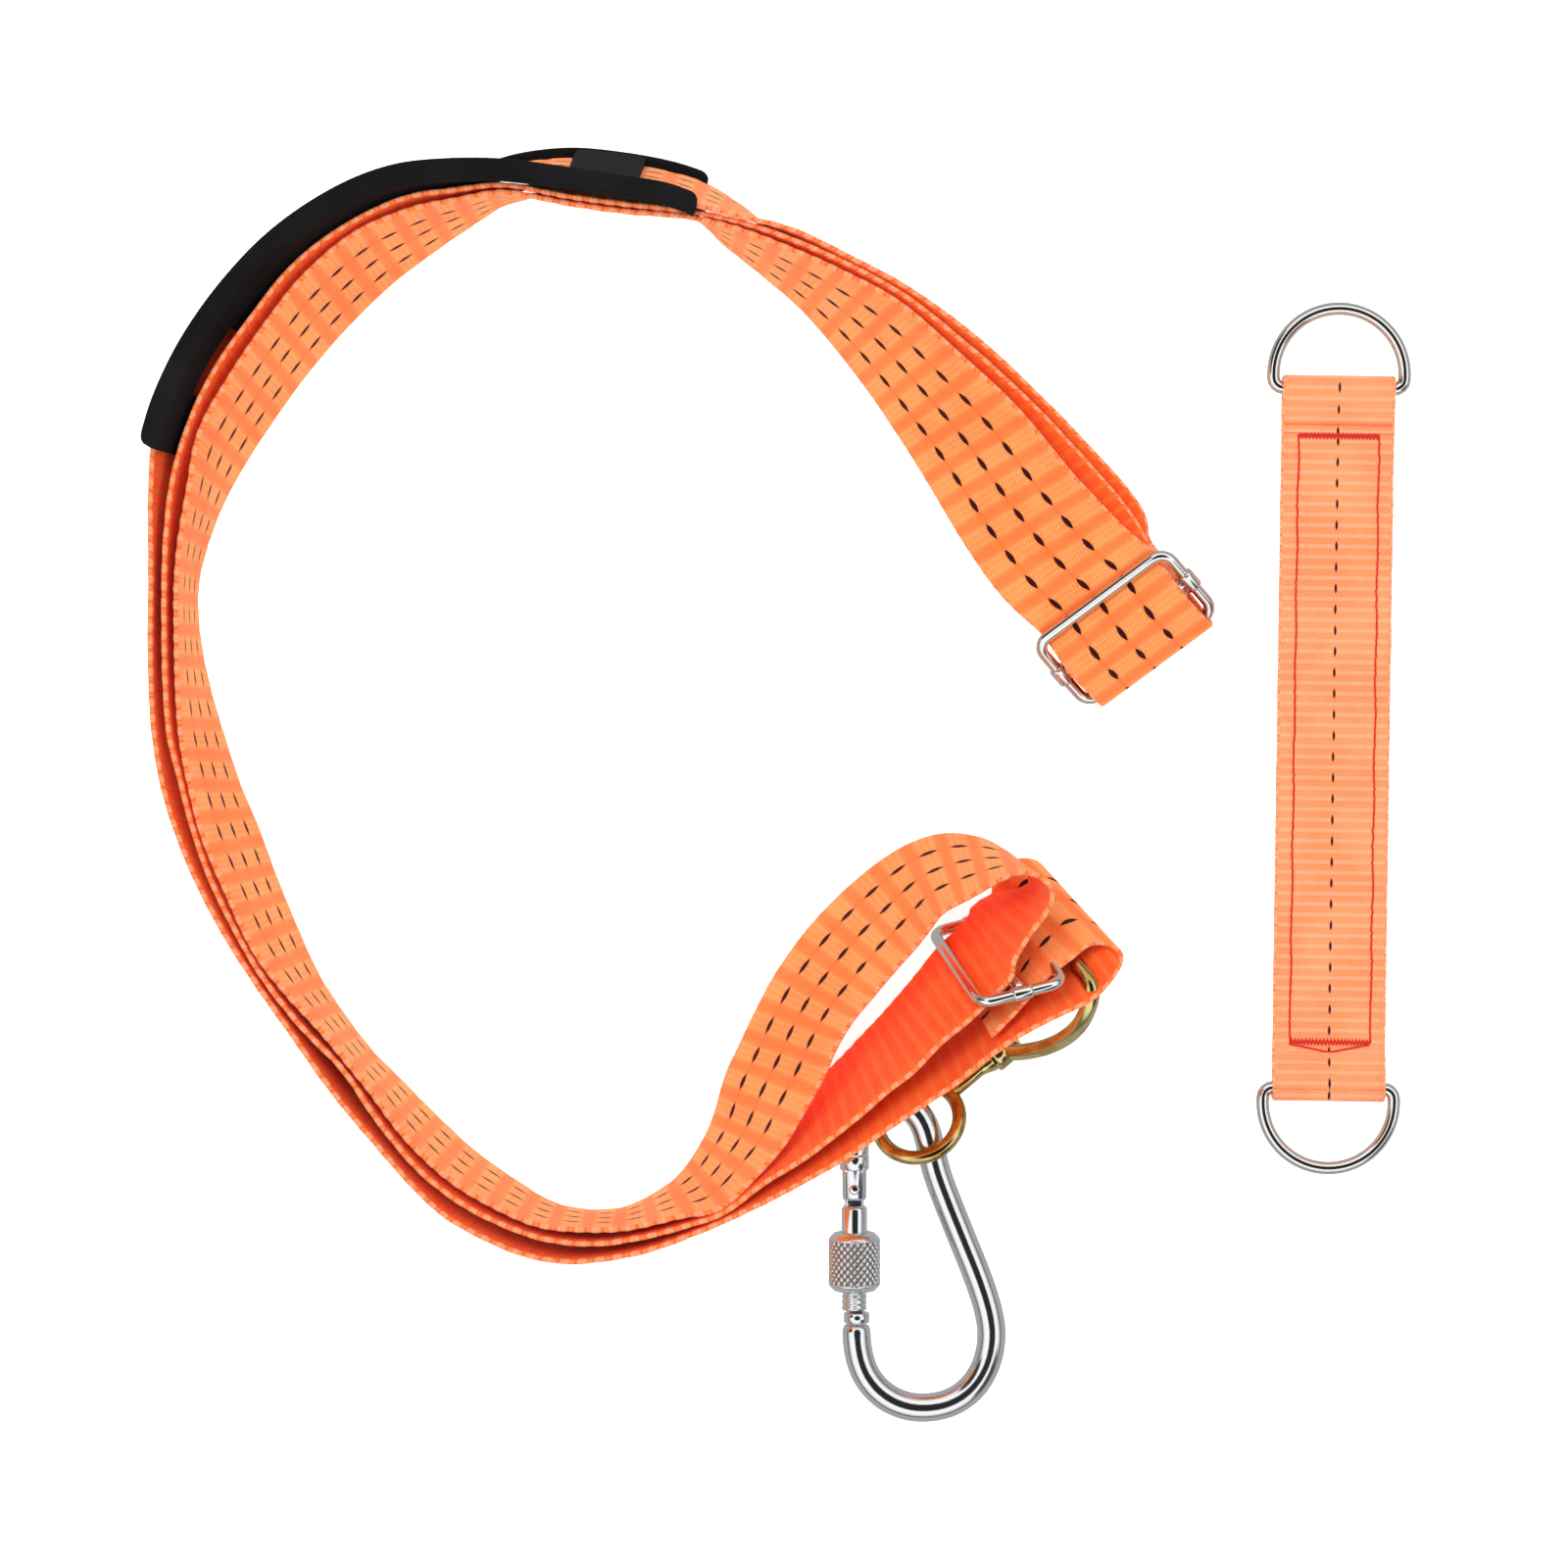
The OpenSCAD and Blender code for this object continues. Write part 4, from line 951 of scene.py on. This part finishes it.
# red bartack over the swivel loop's sewn end, in short threads
loop_dense = smooth(ROUTE_LOOP, 8)
tack_parts = []
loop_mid = (loop_dense[:, :3] + loop_dense[:, 3:]) / 2
for share in (0.9, 0.925, 0.95, 0.975):
    i = int(share * (len(loop_dense) - 1))
    across = unit(loop_dense[i][3:] - loop_dense[i][:3])
    run = unit(loop_mid[i + 1] - loop_mid[i])
    normal = unit(np.cross(run, across))
    tack_parts.append(thread_line([
        loop_mid[i] + across * x + run * 0.5 * math.sin(x * 2) - normal * (1.05 + 0.15 * math.sin(x * 2.2))
        for x in np.arange(-17, 17.1, 0.6)]))
long_threads = thread_object("long_strap_bartack", tack_parts)

# ---------------------------------------------------------------- wear pad

PAD_IN, BASE_OUT, RAIL_OUT, PAD_HALF, RAIL = -3.8, -1.4, 4.2, 28.5, 2.6
RAIL_END = 5.0  # radius of the rails' round corners
pad_points, pad_along = even(smooth(ROUTE_PAD_RUN[9:22], 8), 1.1)
pad_points = soften(pad_points, 2)
pad_mid, pad_across, pad_normal = band_axes(pad_points)


def pad_at(i, x, out):
    return pad_mid[i] + pad_across[i] * x + pad_normal[i] * out


def pad_profile():
    """Pairs of (back, front) points across the channel, each (across, outward)."""
    r = PAD_HALF - RAIL
    pairs = []
    for t in np.linspace(0, 1, 5):  # rounded top of the low rail
        a = math.radians(90 * (1 - t))
        z = RAIL_OUT - 1.3 + 1.3 * math.sin(a)
        wide = RAIL / 2 * math.cos(a)
        pairs.append(((-PAD_HALF + RAIL / 2 - wide, z), (-r - RAIL / 2 + wide, z)))
    pairs += [((-PAD_HALF, z), (-r, z)) for z in (2.0, 1.0, 0.0)]
    pairs += [((-PAD_HALF, -1.6), (-r + 0.1, BASE_OUT + 0.5)), ((-PAD_HALF + 0.5, -3.0), (-r + 0.6, BASE_OUT)),
              ((-PAD_HALF + 1.8, PAD_IN), (-r + 1.2, BASE_OUT))]
    inner = [((x, PAD_IN), (x, BASE_OUT)) for x in np.linspace(-24, 24, 33)]
    mirrored = [((-b[0], b[1]), (-f[0], f[1])) for b, f in pairs[::-1]]
    return pairs + inner + mirrored


profile = pad_profile()
count = len(pad_points)
length = pad_along[-1]
window = [(length * 7 / 72, length * 15 / 72), (length * 57 / 72, length * 65 / 72)]


def in_window(i, j):
    """Whether this cell of the pad lies in one of its two windows."""
    x = (profile[j][0][0] + profile[j + 1][0][0]) / 2
    s = (pad_along[i] + pad_along[i + 1]) / 2
    return abs(x) < 15 and any(a < s < b for a, b in window)


def grip(s, x):
    """Low ridges on the pad's face beside each window."""
    near = min(abs(s - a) if s < a else abs(s - b) if s > b else 0 for a, b in window)
    if not 2 < near < 16 or abs(x) > 19:
        return 0.0
    return 0.32 * max(0.0, math.cos(2 * math.pi * s / 3.4)) ** 0.5


def rail_height(i, out):
    """Height out of the pad, lowered near both ends so that the rails finish in a round corner."""
    left = min(pad_along[i], length - pad_along[i])
    drop = RAIL_END - math.sqrt(RAIL_END**2 - (RAIL_END - left) ** 2) if left < RAIL_END else 0.0
    return max(BASE_OUT + 0.2, out - drop) if out > BASE_OUT + 0.2 else out


verts, faces = [], []
m = len(profile)
for i in range(count):
    for back, front in profile:
        lift = grip(pad_along[i], front[0]) if front[1] == BASE_OUT else 0.0
        verts.append(pad_at(i, back[0], rail_height(i, back[1]) - lift * 0.4))
        verts.append(pad_at(i, front[0], rail_height(i, front[1])))


def corner(i, j, k):
    return (i * m + j) * 2 + k


def present(i, j):
    """Whether the pad has material in this cell: inside its edges and in no window."""
    return 0 <= i < count - 1 and 0 <= j < m - 1 and not in_window(i, j)


# the four side walls of a cell: step to the neighbour that hides it, and its corners as (row, column, face)
WALLS = (((-1, 0), ((0, 0, 0), (0, 0, 1), (0, 1, 1), (0, 1, 0))),
         ((1, 0), ((1, 0, 0), (1, 1, 0), (1, 1, 1), (1, 0, 1))),
         ((0, -1), ((0, 0, 0), (1, 0, 0), (1, 0, 1), (0, 0, 1))),
         ((0, 1), ((0, 1, 0), (0, 1, 1), (1, 1, 1), (1, 1, 0))))
for i in range(count - 1):
    for j in range(m - 1):
        if not present(i, j):
            continue
        faces.append((corner(i, j, 0), corner(i, j + 1, 0), corner(i + 1, j + 1, 0), corner(i + 1, j, 0)))
        faces.append((corner(i, j, 1), corner(i + 1, j, 1), corner(i + 1, j + 1, 1), corner(i, j + 1, 1)))
        for (di, dj), wall in WALLS:
            if not present(i + di, j + dj):
                faces.append(tuple(corner(i + a, j + b, k) for a, b, k in wall))
pad_parts = [(verts, turned(faces))]
for low, high in window:  # the two bridges over the webbing
    inside = [i for i in range(count) if low <= pad_along[i] <= high]
    ends = (inside[0], inside[-1])
    rings = []
    for x in np.linspace(-PAD_HALF + 0.8, PAD_HALF - 0.8, 40):
        outline = [pad_at(i, x, RAIL_OUT - (0.85 if i in ends else 0.35)) for i in inside]
        outline += [pad_at(i, x, RAIL_OUT - (2.0 if i in ends else 2.4)) for i in inside[::-1]]
        rings.append(np.array(outline))
    pad_parts.append(skin(rings))
pad = join_parts("wear_pad_moulding", pad_parts, pad_black)
pad.data.polygons.foreach_set("use_smooth", np.zeros(len(pad.data.polygons), bool))
pad.data.update()

# ---------------------------------------------------------------- what rides on what

LONG_NODES = ["strap_sewn_end", "strap_middle_run", "strap_hairpin", "strap_arch", "strap_inner_run",
              "strap_bight", "strap_pad_run", "strap_outer_run", "strap_swivel_loop"]
PIECES = [
    (strap, "long_strap", "webbing", LONG_NODES),
    (long_threads, "long_strap", "thread", ["strap_stitching"]),
    (slider_a_piece, "long_strap", "chrome_wire", ["slider_a_frame"]),
    (slider_a_bar_piece, "long_strap", "chrome_wire", ["slider_a_bar"]),
    (slider_b_piece, "long_strap", "chrome_wire", ["slider_b_frame"]),
    (slider_b_bar_piece, "long_strap", "chrome_wire", ["slider_b_bar"]),
    (pad, "long_strap", "pad_plastic", ["wear_pad"]),
    (bow, "long_strap", "gold_zinc", ["swivel_bow"]),
    (ring, "ring", "gold_zinc", ["swivel_ring"]),
    (washer, "ring", "gold_zinc", ["swivel_washer"]),
    (carabiner, "carabiner", "chrome_rod", ["carabiner_body"]),
    (rivet, "carabiner", "chrome_rod", ["gate_rivet"]),
    (gate, "gate", "chrome_rod", ["carabiner_gate"]),
    (nut, "nut", "chrome_rod", ["lock_nut"]),
    (short_band, "short_strap", "short_webbing", ["short_webbing_top", "short_webbing_base"]),
    (short_threads, "short_strap", "thread", ["short_stitching"]),
    (hem, "short_strap", "short_webbing", []),
    (d_up, "d_upper", "chrome_wire", ["d_ring_upper"]),
    (d_low, "d_lower", "chrome_wire", ["d_ring_lower"]),
]
for obj, body, slot, nodes in PIECES:
    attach(obj, body)
    if nodes:
        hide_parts(*nodes)

slot_material = {"webbing": face_dash, "short_webbing": short_out, "thread": red_thread, "chrome_wire": chrome,
                 "chrome_rod": rod_steel, "gold_zinc": gold, "spring_steel": rod_steel, "pad_plastic": pad_black}
slot_of = {p["node"]: p["material_slot"] for p in frame["record"]["subparts"]}
for name, node in frame["nodes"].items():
    node.data.materials.clear()
    node.data.materials.append(slot_material[slot_of[name]])

# ---------------------------------------------------------------- floor, light and camera

floor_graph = Graph("pale_floor")
floor_cloud = floor_graph.noise(3.0, 2.0, 0.5)
floor_colour = floor_graph.mix(floor_cloud, (0.93, 0.93, 0.93, 1.0), (0.95, 0.95, 0.95, 1.0))
floor_graph.set(Base_Color=floor_colour, Roughness=0.9, Specular_IOR_Level=0.1, Emission_Color=(1, 1, 1, 1),
                Emission_Strength=0.8)
bpy.ops.mesh.primitive_plane_add(size=16, location=(0, 0, -0.0004))
floor = bpy.context.object
floor.name = "studio_floor"
floor.visible_glossy = False
floor.data.materials.append(floor_graph.material)
floor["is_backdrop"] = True

world = bpy.data.worlds.new("studio")
bpy.context.scene.world = world
world.use_nodes = True
wn, wl = world.node_tree.nodes, world.node_tree.links
coord = wn.new("ShaderNodeTexCoord")
split = wn.new("ShaderNodeSeparateXYZ")
wl.new(coord.outputs["Generated"], split.inputs[0])
bands = wn.new("ShaderNodeValToRGB")
stops = [(0.0, 0.5), (0.05, 0.5), (0.12, 0.2), (0.28, 0.25), (0.42, 0.9), (0.60, 1.3), (1.0, 1.4)]
while len(bands.color_ramp.elements) < len(stops):
    bands.color_ramp.elements.new(0.5)
for element, (at, value) in zip(bands.color_ramp.elements, stops):
    element.position = at
    element.color = (value, value, value, 1)
wl.new(split.outputs[2], bands.inputs[0])
sky = bands.outputs[0]
# dark cards: one overhead round the camera, one low at the side, seen only as streaks in the plating
CARDS = [((0.1, 0.02, 1.0), (0.92, 0.85), 0.02), ((-0.75, 0.35, 0.55), (0.97, 0.93), 0.05),
         ((0.7, -0.55, 0.5), (0.98, 0.95), 0.1)]
for card, (inner, outer), left in CARDS:
    dot = wn.new("ShaderNodeVectorMath")
    dot.operation = "DOT_PRODUCT"
    wl.new(coord.outputs["Generated"], dot.inputs[0])
    dot.inputs[1].default_value = unit(card)
    shade = wn.new("ShaderNodeMapRange")
    shade.interpolation_type = "SMOOTHSTEP"
    for k, value in enumerate((outer, inner, 1.0, left), 1):
        shade.inputs[k].default_value = value
    wl.new(dot.outputs["Value"], shade.inputs[0])
    mixer = wn.new("ShaderNodeVectorMath")
    mixer.operation = "MULTIPLY"
    wl.new(sky, mixer.inputs[0])
    wl.new(shade.outputs[0], mixer.inputs[1])
    sky = mixer.outputs[0]
wl.new(sky, wn["Background"].inputs["Color"])
wn["Background"].inputs["Strength"].default_value = 0.95


def area(name, place, size, power):
    """Soft box that looks at the set and isn't seen in the plating."""
    data = bpy.data.lights.new(name, "AREA")
    data.shape = "RECTANGLE"
    data.size, data.size_y = size
    data.energy = power
    obj = bpy.data.objects.new(name, data)
    bpy.context.scene.collection.objects.link(obj)
    obj.location = place
    obj.rotation_euler = (-Vector(place)).to_track_quat("-Z", "Y").to_euler()
    obj.visible_glossy = False
    return obj


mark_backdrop(area("key_soft_box", (-0.5, 0.5, 1.9), (1.2, 1.0), 18),
         area("fill_soft_box", (0.9, -0.5, 1.7), (1.0, 0.8), 7))

camera_data = bpy.data.cameras.new("photo_camera")
camera = bpy.data.objects.new("photo_camera", camera_data)
bpy.context.scene.collection.objects.link(camera)
camera.location = (0.0014, 0.0001, 2.5)
camera.rotation_euler = (0, 0, 0)
camera_data.sensor_width = 36
camera_data.lens = 36 * (2.5 - 0.02) / 0.5461
camera_data.clip_end = 50
camera_data.dof.use_dof = False
bpy.context.scene.camera = camera
bpy.context.scene.view_settings.view_transform = "Standard"

low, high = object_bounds()
